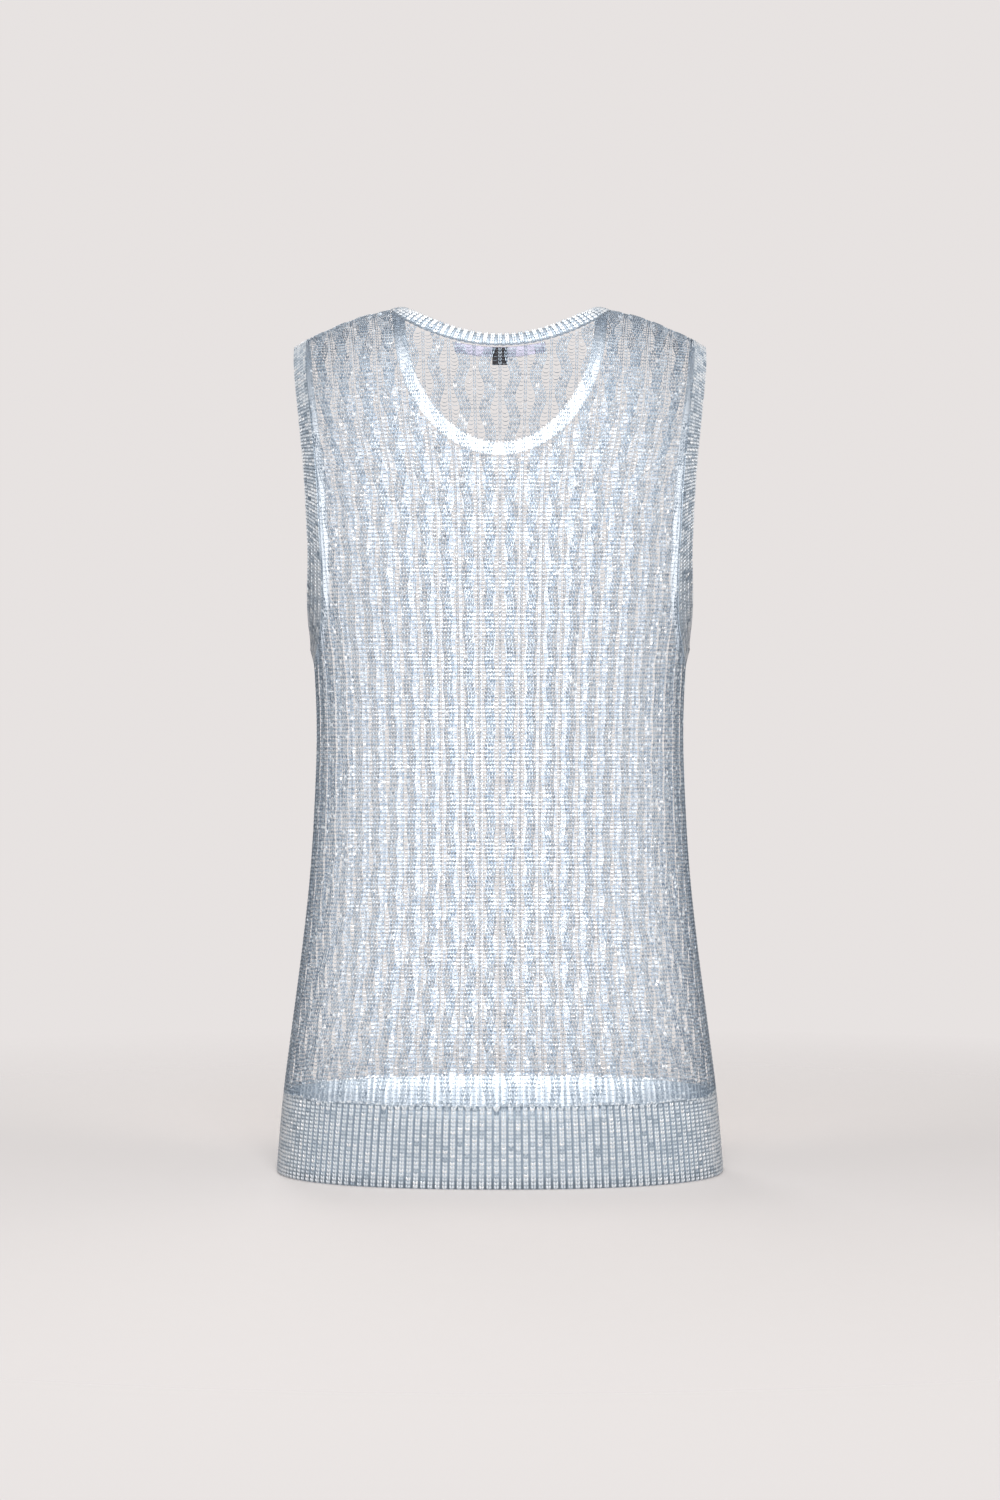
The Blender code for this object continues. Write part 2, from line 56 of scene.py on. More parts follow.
# %% Sizes of the garment
HEM_Z = -0.6870
HEM_SEAM_Z = -0.6243
UNDERARM_Z = -0.2850
ARMHOLE_Z = -0.2720
ARMHOLE_MID_Z = -0.1900
ARMHOLE_BAND = 0.0105
UNDERARM_LIP = 0.0026
TIP_X = 0.1640
SHOULDER_START_Z = -0.1500
SHOULDER_ROUND = 2.6
SECTION_ROUND = 2.3
NECK_SEAM_X = 0.0875
NECK_EDGE_X = 0.0766
NECK_BAND = 0.0095
NECK_EDGE_RISE = 0.0018
NECK_LEAN = 0.915
REPEATS = 13.5
BAND_PERIOD = 0.037

Section = namedtuple("Section", "z half_width back front")
SECTIONS = (
    Section(-0.690, 0.1778, 0.124, 0.121),
    Section(-0.630, 0.1726, 0.118, 0.117),
    Section(-0.570, 0.1650, 0.109, 0.112),
    Section(-0.510, 0.1572, 0.100, 0.108),
    Section(-0.450, 0.1508, 0.094, 0.106),
    Section(-0.390, 0.1471, 0.094, 0.109),
    Section(-0.336, 0.1456, 0.098, 0.115),
    Section(-0.285, 0.1476, 0.102, 0.119),
    Section(-0.255, 0.1512, 0.103, 0.119),
    Section(-0.220, 0.1576, 0.104, 0.117),
    Section(-0.180, 0.1627, 0.103, 0.112),
    Section(-0.136, 0.1655, 0.101, 0.106),
    Section(-0.088, 0.1702, 0.098, 0.100),
    Section(-0.050, 0.1745, 0.095, 0.095),
    Section(0.020, 0.1780, 0.090, 0.090),
)
Edge = namedtuple("Edge", "z x")
ARMHOLE_EDGE = (
    Edge(-0.190, 0.1514),
    Edge(-0.136, 0.1544),
    Edge(-0.088, 0.1592),
    Edge(-0.050, 0.1632),
    Edge(-0.031, 0.1640),
    Edge(0.000, 0.1650),
)
Ridge = namedtuple("Ridge", "x z")
SHOULDER_LINE = (
    Ridge(0.000, 0.0140),
    Ridge(0.040, 0.0090),
    Ridge(0.078, 0.0000),
    Ridge(0.113, -0.0080),
    Ridge(0.152, -0.0240),
    Ridge(0.164, -0.0310),
    Ridge(0.190, -0.0480),
)
Pitch = namedtuple("Pitch", "z width")
REPEAT_WIDTH = (
    Pitch(-0.690, 0.0172),
    Pitch(-0.600, 0.0165),
    Pitch(-0.520, 0.0155),
    Pitch(-0.430, 0.0153),
    Pitch(-0.300, 0.0159),
    Pitch(-0.240, 0.0165),
    Pitch(-0.140, 0.0174),
    Pitch(-0.080, 0.0195),
    Pitch(0.020, 0.0205),
)
Side = namedtuple("Side", "name facing neck_drop neck_round")
BACK = Side("back", -1.0, 0.0352, 1.65)
FRONT = Side("front", 1.0, 0.1040, 1.0)

# %% [markdown]
# ### Curves through the tables
# A table row is a place where the garment was sized up. Between rows its outline runs smoothly, so
# a cubic curve goes through each column, and one rounded formula turns two sizes into an oval.

# %% Curves and sections
THIN_EDGE = 0.004  # the least depth that a normal is worked out from, near a side
SLOPE_STEP = 0.0004  # how far apart two points are where a slope is measured


def unit(vectors):
    """The same directions with length 1."""
    return vectors / np.maximum(np.linalg.norm(vectors, axis=1), 1e-9)[:, None]


def along(table, field, at):
    """A smooth curve through one column of a table."""
    keys = np.array([row[0] for row in table])
    values = np.array([getattr(row, field) for row in table])
    low, high = np.r_[0, :len(keys) - 1], np.r_[1:len(keys), len(keys) - 1]
    slopes = (values[high] - values[low]) / (keys[high] - keys[low])
    at = np.clip(at, keys[0], keys[-1])
    i = np.clip(np.searchsorted(keys, at, "right") - 1, 0, len(keys) - 2)
    span = keys[i + 1] - keys[i]
    t = (at - keys[i]) / span
    start = values[i] * (2 * t**3 - 3 * t**2 + 1) + slopes[i] * span * (t**3 - 2 * t**2 + t)
    return start + values[i + 1] * (3 * t**2 - 2 * t**3) + slopes[i + 1] * span * (t**3 - t**2)


def superellipse(share, power=SECTION_ROUND):
    """1 at the middle of a section, falling to 0 at its side."""
    return (1 - np.clip(share, 0.0, 1.0) ** power) ** (1 / power)


def depth(side, x, z):
    """How far the cloth lies from the plane of the shoulder line."""
    share = np.abs(x) / along(SECTIONS, "half_width", z)
    level = along(SECTIONS, side.name, z) * superellipse(share)
    ridge = along(SHOULDER_LINE, "z", np.abs(x))
    return level * superellipse((z - SHOULDER_START_Z) / (ridge - SHOULDER_START_Z), SHOULDER_ROUND)


def section_run(side, z, steps=65):
    """Level sections from the centre line to the side, and the distance along them."""
    angles = np.linspace(0.0, math.pi / 2, steps)
    across = along(SECTIONS, "half_width", z)[:, None] * np.sin(angles) ** (2 / SECTION_ROUND)
    deep = along(SECTIONS, side.name, z)[:, None] * np.cos(angles) ** (2 / SECTION_ROUND)
    run = np.cumsum(np.hypot(np.diff(across), np.diff(deep)), axis=1)
    return across, np.pad(run, ((0, 0), (1, 0)))


def outward(side, spots):
    """Unit normals out of the garment, from the rise of a form that is 1 on its surface."""
    def form(p):
        x, y, z = np.abs(p[:, 0]), np.abs(p[:, 1]), p[:, 2]
        share = x / along(SECTIONS, "half_width", z)
        deepest = along(SECTIONS, side.name, z)
        ridge = along(SHOULDER_LINE, "z", x)
        turn = np.clip((z - SHOULDER_START_Z) / (ridge - SHOULDER_START_Z), 0.0, None)
        low = share**SECTION_ROUND + (y / deepest) ** SECTION_ROUND
        near_top = np.maximum(deepest * superellipse(share), THIN_EDGE)
        high = (y / near_top) ** SHOULDER_ROUND + turn**SHOULDER_ROUND
        return np.where(above, high, low)

    above = spots[:, 2] >= SHOULDER_START_Z
    steps = np.eye(3) * SLOPE_STEP
    return unit(np.stack([form(spots + step) - form(spots - step) for step in steps], axis=1))


for height in (-0.60, -0.34, -0.10):
    print(f"half width at {height:.2f} m:", round(float(along(SECTIONS, "half_width", height)), 4))

# %% [markdown]
# ## Soft creases
# Knit of this weight hangs in a few shallow folds and hardly creases. Each row of the table is one
# trough, or a ridge where its depth is negative: where it lies, how long and wide it is, how deep,
# and how far it leans from upright. The places on the back are read from the soft shading of the
# picture, and their depths are judged. The front can't be seen, so its folds are guesses of the
# same kind.

# %% Place the creases
Crease = namedtuple("Crease", "side x z long wide deep lean")
CREASES = (
    Crease("back", 0.1216, -0.2170, 0.0030, 0.0150, 0.0016, 0.10),  # short and nearly level
    Crease("back", 0.0800, -0.6240, 0.0620, 0.0085, -0.0024, -0.22),  # ridge through the hem
    Crease("back", -0.0560, -0.6760, 0.0220, 0.0140, 0.0018, 0.05),  # hollow in the hem
    Crease("back", -0.0900, -0.3520, 0.0460, 0.0100, 0.0022, -0.50),  # slants in at the waist
    Crease("back", -0.1360, -0.5840, 0.0360, 0.0080, -0.0018, 0.04),  # beside the left seam
    Crease("back", 0.0030, -0.1720, 0.0720, 0.0150, 0.0014, 0.02),  # centre of the upper back
    Crease("back", 0.1220, -0.1120, 0.0280, 0.0070, 0.0012, 0.50),  # towards the armhole
    Crease("front", -0.1020, -0.6200, 0.0640, 0.0090, -0.0022, 0.16),
    Crease("front", 0.0500, -0.6740, 0.0240, 0.0130, 0.0017, -0.04),
    Crease("front", 0.0980, -0.3600, 0.0440, 0.0100, 0.0022, 0.44),
    Crease("front", 0.1300, -0.5700, 0.0380, 0.0085, -0.0017, -0.05),
    Crease("front", -0.0100, -0.2200, 0.0560, 0.0150, 0.0012, 0.03),
    Crease("front", -0.1180, -0.2300, 0.0260, 0.0075, 0.0014, -0.46),
)


def crease_depth(side, x, z):
    """How far the creases push the cloth inwards."""
    deep = np.zeros(np.shape(x))
    for fold in CREASES:
        if fold.side == side.name:
            up, across = z - fold.z, x - fold.x
            c, s = math.cos(fold.lean), math.sin(fold.lean)
            along_it, over_it = up * c + across * s, across * c - up * s
            deep = deep + fold.deep * np.exp(-(along_it / fold.long)**2 - (over_it / fold.wide)**2)
    return deep


def creased(side, spots):
    """Points of the form, moved into the creases."""
    flat = spots.reshape(-1, 3)
    deep = crease_depth(side, flat[:, 0], flat[:, 2])
    return (flat - outward(side, flat) * deep[:, None]).reshape(spots.shape)


def creased_normals(side, spots):
    """Normals that lean with the creases' slopes."""
    x, z, step = spots[:, 0], spots[:, 2], SLOPE_STEP
    lean = np.zeros(spots.shape)
    lean[:, 0] = (crease_depth(side, x + step, z) - crease_depth(side, x - step, z)) / (2 * step)
    lean[:, 2] = (crease_depth(side, x, z + step) - crease_depth(side, x, z - step)) / (2 * step)
    return unit(outward(side, spots) + lean)


print("creases:", {s.name: sum(c.side == s.name for c in CREASES) for s in (BACK, FRONT)})

# %% [markdown]
# ## The cloth as a grid of wales and courses
# Knitters count columns of stitches as wales and rows as courses. Each side of the garment is
# read as a sheet with those two directions: s counts pattern repeats from the centre line, and v
# is the distance up along the cloth from the hem seam. All stitches then stay the same height,
# however the cloth bends over the shoulder.

# %% Read each side as a sheet
COURSE = 0.0031  # height of one row of stitches
COLUMNS = round(2 * REPEATS) * 8 + 1  # eight to a repeat
LOW_ROWS = 60  # sections from the hem seam to the underarm
HIGH_ROWS = 80  # and from there to the shoulder line
HALVINGS = 22  # enough to find a height to well under a micron


class Sheet:
    """One side of the garment, read by pattern repeat and by distance from the hem seam."""

    def __init__(self, side):
        self.side = side
        self.columns = np.linspace(-REPEATS, REPEATS, COLUMNS)
        turns = np.linspace(0.0, math.pi / 2, HIGH_ROWS)
        tops = self.ridge_heights()
        below = np.linspace(HEM_SEAM_Z, UNDERARM_Z, LOW_ROWS)
        below = np.broadcast_to(below, (COLUMNS, LOW_ROWS))
        above = UNDERARM_Z + (tops - UNDERARM_Z)[:, None] * np.sin(turns[1:])
        heights = np.concatenate([below, above], axis=1)
        x = self.across(np.broadcast_to(self.columns[:, None], heights.shape), heights)
        y = side.facing * depth(side, x, heights)
        spots = np.stack([x, y, heights], axis=2)
        run = np.cumsum(np.linalg.norm(np.diff(spots, axis=1), axis=2), axis=1)
        run = np.pad(run, ((0, 0), (1, 0)))
        self.length = float(run[:, -1].max())
        self.steps = np.arange(0.0, self.length + COURSE, COURSE / 2)
        even_rows = np.stack([
            np.stack([np.interp(self.steps, r, p[:, axis]) for axis in range(3)], axis=1)
            for r, p in zip(run, spots)])
        self.grid = creased(side, even_rows)

    def across(self, s, z):
        """x of repeat s at height z. Towards the side seams the repeats share what is left."""
        s_flat, z_flat = np.ravel(s), np.ravel(z)
        low = np.minimum(z_flat, UNDERARM_Z)
        whole = section_run(self.side, low)[1][:, -1]
        left_over = whole - REPEATS * along(REPEAT_WIDTH, "width", low)
        distance = along(REPEAT_WIDTH, "width", z_flat) * np.abs(s_flat)
        distance = distance + left_over * (np.abs(s_flat) / REPEATS) ** 3
        across, run = section_run(self.side, z_flat)
        found = np.array([np.interp(d, r, a) for d, r, a in zip(distance, run, across)])
        return np.copysign(found, s_flat).reshape(np.shape(s))

    def ridge_heights(self):
        """How high each column can climb before it meets the shoulder line."""
        low = np.full(COLUMNS, UNDERARM_Z)
        high = np.full(COLUMNS, SHOULDER_LINE[0].z)
        for _ in range(HALVINGS):
            middle = (low + high) / 2
            under = middle < along(SHOULDER_LINE, "z", np.abs(self.across(self.columns, middle)))
            low, high = np.where(under, middle, low), np.where(under, high, middle)
        return low

    def at(self, s, v):
        """Points of the sheet."""
        across = (np.asarray(s) + REPEATS) / (self.columns[1] - self.columns[0])
        up = np.asarray(v) / (self.steps[1] - self.steps[0])
        i = np.clip(across.astype(int), 0, COLUMNS - 2)
        j = np.clip(up.astype(int), 0, len(self.steps) - 2)
        a, b = (across - i)[..., None], (up - j)[..., None]
        g = self.grid
        low = g[i, j] * (1 - a) + g[i + 1, j] * a
        return low * (1 - b) + (g[i, j + 1] * (1 - a) + g[i + 1, j + 1] * a) * b


sheets = {side.name: Sheet(side) for side in (BACK, FRONT)}
print("length of the cloth over the hem:", {k: round(s.length, 3) for k, s in sheets.items()})

# %% [markdown]
# ## Where the panels end
# The neck and the armholes are cut out of the sheets. A stitch is kept when it lies under the neck
# seam, inside the armhole seam and below the shoulder line.

# %% Edges of the panels
ARMHOLE_ROUND = 2.2


def neck_seam_z(side, x):
    corner = along(SHOULDER_LINE, "z", NECK_SEAM_X)
    rise = np.sqrt(np.clip(1 - (x / NECK_SEAM_X) ** 2, 0.0, 1.0)) ** side.neck_round
    return corner - side.neck_drop * rise


def armhole_turn(z, lowest):
    """1 at the straight upper part of the armhole, 0 at its lowest point."""
    t = np.clip((ARMHOLE_MID_Z - z) / (ARMHOLE_MID_Z - lowest), 0.0, 1.0)
    return superellipse(t, ARMHOLE_ROUND)


def inside_panel(side, p, margin):
    x, y, z = np.abs(p[..., 0]), np.abs(p[..., 1]), p[..., 2]
    under_neck = (x > NECK_SEAM_X) | (z < neck_seam_z(side, x) - margin)
    seam = along(ARMHOLE_EDGE, "x", z) - ARMHOLE_BAND
    middle = along(ARMHOLE_EDGE, "x", ARMHOLE_MID_Z) - ARMHOLE_BAND
    deepest = depth(side, middle, ARMHOLE_MID_Z)
    low = (z > UNDERARM_Z) & (z < ARMHOLE_MID_Z) & (y < deepest * armhole_turn(z, UNDERARM_Z))
    high = (z >= ARMHOLE_MID_Z) & (x > seam)
    return under_neck & ~low & ~high


print("neck drops:", {side.name: side.neck_drop for side in (BACK, FRONT)}, "m")

# %% [markdown]
# ## One stitch leg and one rung
# Under a lens each leg of a knit stitch is a plump drop of yarn, thick in the middle and hidden at
# both ends by its neighbours. A three-sided cone, drawn out to a point at the other end as well,
# gives that drop with six faces, which matters when tens of thousands are set. A rung is the bare
# yarn between two wales: the same idea with a longer waist.

# %% Model the leg and the rung by hand
# Tones added to a leg's yarn number: the tips and flanks are painted darker as shade, the outward
# crest lighter as a painted highlight.
TIP_PAINTED_SHADE = -0.34  # painted shade where a leg dips behind its neighbours
CREST_PAINTED_HIGHLIGHT = 0.22
FLANK_PAINTED_SHADE = -0.06
Shape = namedtuple("Shape", "points faces tone")


def deselect():
    for thing in bpy.context.selected_objects:
        thing.select_set(False)


def drawn_out(name, waist):
    """A three-sided drop along +Z from 0 to 1. waist is the length of its even middle."""
    deselect()
    end = (1 - waist) / 2
    bpy.ops.mesh.primitive_cone_add(vertices=3, radius1=0.5, radius2=0.0, depth=end,
                                    location=(0.0, 0.0, 1 - end / 2))
    drop = bpy.context.object
    bpy.ops.object.mode_set(mode="EDIT")
    bpy.ops.mesh.select_all(action="DESELECT")
    bpy.ops.object.mode_set(mode="OBJECT")
    for face in drop.data.polygons:
        face.select = face.normal.z < -0.9
    bpy.ops.object.mode_set(mode="EDIT")
    if waist > 0:
        bpy.ops.mesh.extrude_region_move(TRANSFORM_OT_translate={"value": (0.0, 0.0, -waist)})
    bpy.ops.mesh.extrude_region_move(TRANSFORM_OT_translate={"value": (0.0, 0.0, -end)})
    bpy.ops.mesh.merge(type="CENTER")
    bpy.ops.mesh.select_all(action="SELECT")
    bpy.ops.mesh.normals_make_consistent(inside=False)
    bpy.ops.mesh.quads_convert_to_tris()
    bpy.ops.object.mode_set(mode="OBJECT")
    bpy.ops.object.transform_apply(location=True, rotation=True, scale=True)
    points = np.array([v.co[:] for v in drop.data.vertices])
    faces = np.array([f.vertices[:] for f in drop.data.polygons])
    bpy.data.objects.remove(drop)
    # painted shade at the tips and on the flanks, a painted highlight on the outward crest
    tips = (points[:, 2] < 0.01) | (points[:, 2] > 0.99)
    tone = np.where(tips, TIP_PAINTED_SHADE, np.where(points[:, 1] > 0.1, CREST_PAINTED_HIGHLIGHT, FLANK_PAINTED_SHADE))
    print(name, "has", len(points), "points and", len(faces), "triangles")
    return Shape(points, faces, tone)


LEG = drawn_out("stitch leg", 0.0)
RUNG = drawn_out("rung", 0.34)

# %% [markdown]
# ## Setting copies with arrays
# Every copy runs from one point to another, with a width across the cloth, a thickness through it
# and, for rungs, a sag of the middle. All copies of a piece become one joined mesh. Each keeps a
# random number and its place on the garment as attributes, which the yarn's material reads.

# %% The helper that sets copies


def set_copies(shape, start, end, normal, width, thick, numbers, sag=None):
    """Points, faces and yarn numbers of one copy of the shape for each start."""
    points, faces, tone = shape
    width, thick = (np.broadcast_to(size, len(start)) for size in (width, thick))
    axis = end - start
    long = unit(axis)
    over = unit(np.cross(normal, long))
    out = np.cross(long, over)
    x, y, z = points[:, 0], points[:, 1], points[:, 2]
    placed = start[:, None] + axis[:, None] * z[None, :, None]
    placed = placed + over[:, None] * (width[:, None] * x)[..., None]
    placed = placed + out[:, None] * (thick[:, None] * y)[..., None]
    if sag is not None:
        placed = placed + sag[:, None] * (4 * z * (1 - z))[None, :, None]
    count, own = len(start), len(points)
    index = faces[None] + (np.arange(count) * own)[:, None, None]
    # each point's yarn number: the copy's random number with the painted shade and highlight of the
    # shape added
    shade = np.clip(numbers[:, None] + tone[None], 0.0, 1.0)
    return placed.reshape(-1, 3), index.reshape(-1, 3), shade.ravel()


FLANK_ANGLE = math.radians(112)  # round over the crest of a drop, sharp where it turns inside


def joined_piece(name, parts, material):
    """One object from several sets of copies: (points, faces, yarn number of each point, random
    with painted shade and highlight added).
    """
    offset, points, faces, numbers = 0, [], [], []
    for p, f, n in parts:
        points.append(p)
        faces.append(f + offset)
        numbers.append(n)
        offset += len(p)
    points, faces, numbers = (np.concatenate(x) for x in (points, faces, numbers))
    mesh = bpy.data.meshes.new(name)
    mesh.vertices.add(len(points))
    mesh.vertices.foreach_set("co", points.astype(np.float32).ravel())
    mesh.loops.add(faces.size)
    mesh.loops.foreach_set("vertex_index", faces.astype(np.int32).ravel())
    mesh.polygons.add(len(faces))
    mesh.polygons.foreach_set("loop_start", np.arange(0, faces.size, 3, dtype=np.int32))
    mesh.update(calc_edges=True)
    mesh.validate()
    yarn = mesh.attributes.new("yarn", "FLOAT", "POINT")
    yarn.data.foreach_set("value", numbers.astype(np.float32))
    mesh.shade_smooth()
    mesh.set_sharp_from_angle(angle=FLANK_ANGLE)
    mesh.materials.append(material)
    piece = bpy.data.objects.new(name, mesh)
    bpy.context.scene.collection.objects.link(piece)
    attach(piece, "root")
    print(name, len(faces), "triangles")
    return piece


def stand_for(node):
    """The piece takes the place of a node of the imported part."""
    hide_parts(node)


# %% [markdown]
# ## The yarn
# The yarn is a pale steel blue with a thin metallic strand: it glints in single stitches rather
# than all over. One node group makes the colour and the roughness from the number of each stitch,
# so that a few stitches are painted bright as glints and others fall back. The numbers also carry
# the painted shade of each leg's tips and the painted highlight of its crest. The group also puts a
# fine bump of fibres on them. The ribs and the open knit share it.

# %% The yarn's node group
YARN_DARK = (0.100, 0.145, 0.205, 1.0)
YARN_MIDDLE = (0.430, 0.505, 0.585, 1.0)
YARN_LIGHT = (0.800, 0.845, 0.890, 1.0)
# the colour that stitches painted bright as glints reach
YARN_PAINTED_GLINT = (0.970, 0.980, 0.990, 1.0)
FLECK_SHARE = 0.24  # how far a fleck moves the yarn number, from end to end


def set_inputs(node, **values):
    """Set a node's inputs by name, with _ for a space, and hand the node back."""
    for socket, value in values.items():
        node.inputs[socket.replace("_", " ")].default_value = value
    return node


def yarn_group():
    group = bpy.data.node_groups.new("metallic_yarn", "ShaderNodeTree")
    group.interface.new_socket("Depth", in_out="INPUT", socket_type="NodeSocketFloat")
    for name, kind in (("Color", "Color"), ("Roughness", "Float"), ("Normal", "Vector")):
        group.interface.new_socket(name, in_out="OUTPUT", socket_type=f"NodeSocket{kind}")
    nodes, links = group.nodes, group.links
    given, out = nodes.new("NodeGroupInput"), nodes.new("NodeGroupOutput")
    place = nodes.new("ShaderNodeTexCoord")
    number = nodes.new("ShaderNodeAttribute")
    number.attribute_name = "yarn"
    tint = nodes.new("ShaderNodeValToRGB")
    ramp = tint.color_ramp
    ramp.elements[0].position, ramp.elements[0].color = 0.0, YARN_DARK
    ramp.elements[1].position, ramp.elements[1].color = 0.97, YARN_PAINTED_GLINT
    for stop, color in ((0.32, YARN_MIDDLE), (0.66, YARN_LIGHT), (0.86, YARN_LIGHT)):
        ramp.elements.new(stop).color = color
    fleck = set_inputs(nodes.new("ShaderNodeTexNoise"), Scale=900.0, Detail=2.0)
    shifted = nodes.new("ShaderNodeMath")
    shifted.operation = "MULTIPLY_ADD"
    shifted.inputs[1].default_value = FLECK_SHARE
    shifted.inputs[2].default_value = -FLECK_SHARE / 2
    added = nodes.new("ShaderNodeMath")
    added.operation = "ADD"
    added.use_clamp = True
    # the yarn number is lowered by the painted shade of a recessed wall, given to the group
    deep = nodes.new("ShaderNodeMath")
    deep.operation = "SUBTRACT"
    rough = set_inputs(nodes.new("ShaderNodeMapRange"), To_Min=0.52, To_Max=0.24)
    fibres = set_inputs(nodes.new("ShaderNodeTexNoise"), Scale=4200.0)
    raised = set_inputs(nodes.new("ShaderNodeBump"), Strength=0.35, Distance=0.00012)
    for source, target in (
            (place.outputs["Object"], fleck.inputs["Vector"]),
            (fleck.outputs["Fac"], shifted.inputs[0]),
            (shifted.outputs[0], added.inputs[0]),
            (number.outputs["Fac"], added.inputs[1]),
            (added.outputs[0], deep.inputs[0]),
            (given.outputs["Depth"], deep.inputs[1]),
            (deep.outputs[0], tint.inputs["Fac"]),
            (tint.outputs["Color"], out.inputs["Color"]),
            (number.outputs["Fac"], rough.inputs["Value"]),
            (rough.outputs["Result"], out.inputs["Roughness"]),
            (place.outputs["Object"], fibres.inputs["Vector"]),
            (fibres.outputs["Fac"], raised.inputs["Height"]),
            (raised.outputs["Normal"], out.inputs["Normal"])):
        links.new(source, target)
    return group


metallic_yarn = yarn_group()
print("the yarn's group has", len(metallic_yarn.nodes), "nodes")

# %% [markdown]
# ### Three uses of the yarn
# The open knit, the ribs and the walls behind the ribs are the same yarn. The walls lie deeper, so
# their numbers are lowered a little as painted shade, and the ribs shine slightly more.

# %% Materials from the group


def blank_material(name):
    """A new material with its nodes, its links and its shader."""
    material = bpy.data.materials.new(name)
    material.use_nodes = True
    nodes, links = material.node_tree.nodes, material.node_tree.links
    return material, nodes, links, nodes["Principled BSDF"]


def yarn_material(name, painted_recess_shade, metallic):
    material, nodes, links, shader = blank_material(name)
    yarn = nodes.new("ShaderNodeGroup")
    yarn.node_tree = metallic_yarn
    set_inputs(yarn, Depth=painted_recess_shade)
    links.new(yarn.outputs["Color"], shader.inputs["Base Color"])
    links.new(yarn.outputs["Roughness"], shader.inputs["Roughness"])
    links.new(yarn.outputs["Normal"], shader.inputs["Normal"])
    set_inputs(shader, Metallic=metallic, Sheen_Weight=0.15, Sheen_Roughness=0.4)
    print("material", name)
    return material


open_yarn = yarn_material("open_knit_yarn", 0.0, 0.25)
rib_yarn = yarn_material("rib_yarn", 0.0, 0.30)
# the walls' numbers are lowered by 0.08 as painted shade, for lying deeper
ground_yarn = yarn_material("rib_ground_yarn", 0.08, 0.25)

# %% [markdown]
# ## The ladder stitch
# One repeat of the pattern is a dense band three wales wide and a gap with a single chain of
# stitches down its middle. Loose rungs cross the gap on both sides of the chain. The bands meander,
# and neighbours swing opposite ways, so the gaps between them open and close like a row of lenses.

# %% Places of the wales
BAND_SWING = 0.10  # in repeats
WALE = 0.158  # width of one wale, in repeats
BAND_WALES = (-1, 0, 1)
SIDE_WALES = (13.09, 13.25, 13.41)  # repeats of the half band that meets each side seam
LAST_CHAIN = 13.0  # repeats from the centre to the chain nearest a side seam
FOOT_AT = 0.10  # how far a leg's foot lies from the wale's middle, in wales
LEG_SPREAD = 0.36  # and its head
FOOT_DROP = 0.12  # how far the foot reaches below its row, in courses
HEAD_REACH = 1.06  # and how high the head is above the row
CHAIN_EDGE = 0.40  # where a rung leaves the chain, in wales from the wale's middle
BAND_EDGE = 0.42  # where it meets the band's last wale
RUNG_HEIGHT = 0.6  # in courses above the row
BAND_LEG = (0.50, 0.00085)  # a leg's width in wales, and its thickness in metres
CHAIN_LEG = (0.34, 0.00075)
BAND_LIFT = 0.0005
CHAIN_LIFT = 0.0001
RUNG_THICKNESS = (0.00048, 0.00062)
RUNG_SAG = (0.18, 0.36)  # in lengths of the rung
FIRST_ROW = 0.0006  # from the hem seam up to the first row of stitches
NECK_MARGIN = 0.0008  # what is left free under the neck seam
# Stitches painted bright stand in for the glints of the metallic strand, and more of them are
# painted so towards the side seams.
SIDE_PAINTED_GLINTS_FROM = 8.0  # repeats from the centre, past which more stitches are bright
PAINTED_GLINTS_AND_DULLS = 0.012  # the share of stitches painted bright as glints, and of dull ones
SIDE_PAINTED_GLINTS_AND_DULLS = 0.06
PAINTED_GLINT_RISE = 0.45
DULL_DROP = 0.20
WAVE_SHIFT = 1.5  # how far the waves of neighbouring bands drift apart, in radians
Meander = namedtuple("Meander", "v share")
MEANDERS = (
    Meander(0.00, 1.00),
    Meander(0.10, 1.05),
    Meander(0.22, 0.60),
    Meander(0.36, 0.55),
    Meander(0.48, 1.10),
    Meander(0.70, 1.15),
)


def swing(s_band, v):
    """Sideways swing of the band between two chains, in repeats."""
    way = np.where(np.floor(s_band) % 2 == 0, -1.0, 1.0)
    drift = WAVE_SHIFT * (np.sin(s_band * 0.55 + 0.8) + 0.3 * np.sin(s_band * 1.9 + v * 11.0))
    wave = np.cos(2 * math.pi * v / BAND_PERIOD + drift)
    return way * BAND_SWING * along(MEANDERS, "share", v) * wave


def yarn_numbers(count, middle=0.18, spread=0.09, painted_glints_and_dulls=0.03):
    """Mostly even numbers, with a few painted glints and a few dull stitches."""
    numbers = rng.normal(middle, spread, count)
    luck = rng.random(count)
    numbers = np.where(luck > 1 - painted_glints_and_dulls, middle - DULL_DROP, numbers)
    return np.where(luck < painted_glints_and_dulls, middle + PAINTED_GLINT_RISE, numbers)


print("a wale is", round(1000 * WALE * REPEAT_WIDTH[0].width, 2), "mm wide at the hem")

# %% [markdown]
# ### From a place in the pattern to a leg of yarn
# Each stitch is a V of two legs, which starts a little under the head of the stitch below. The
# yarn's own thickness varies by a tenth. What would stick out of the panel is left unknitted.

# %% The helpers that knit


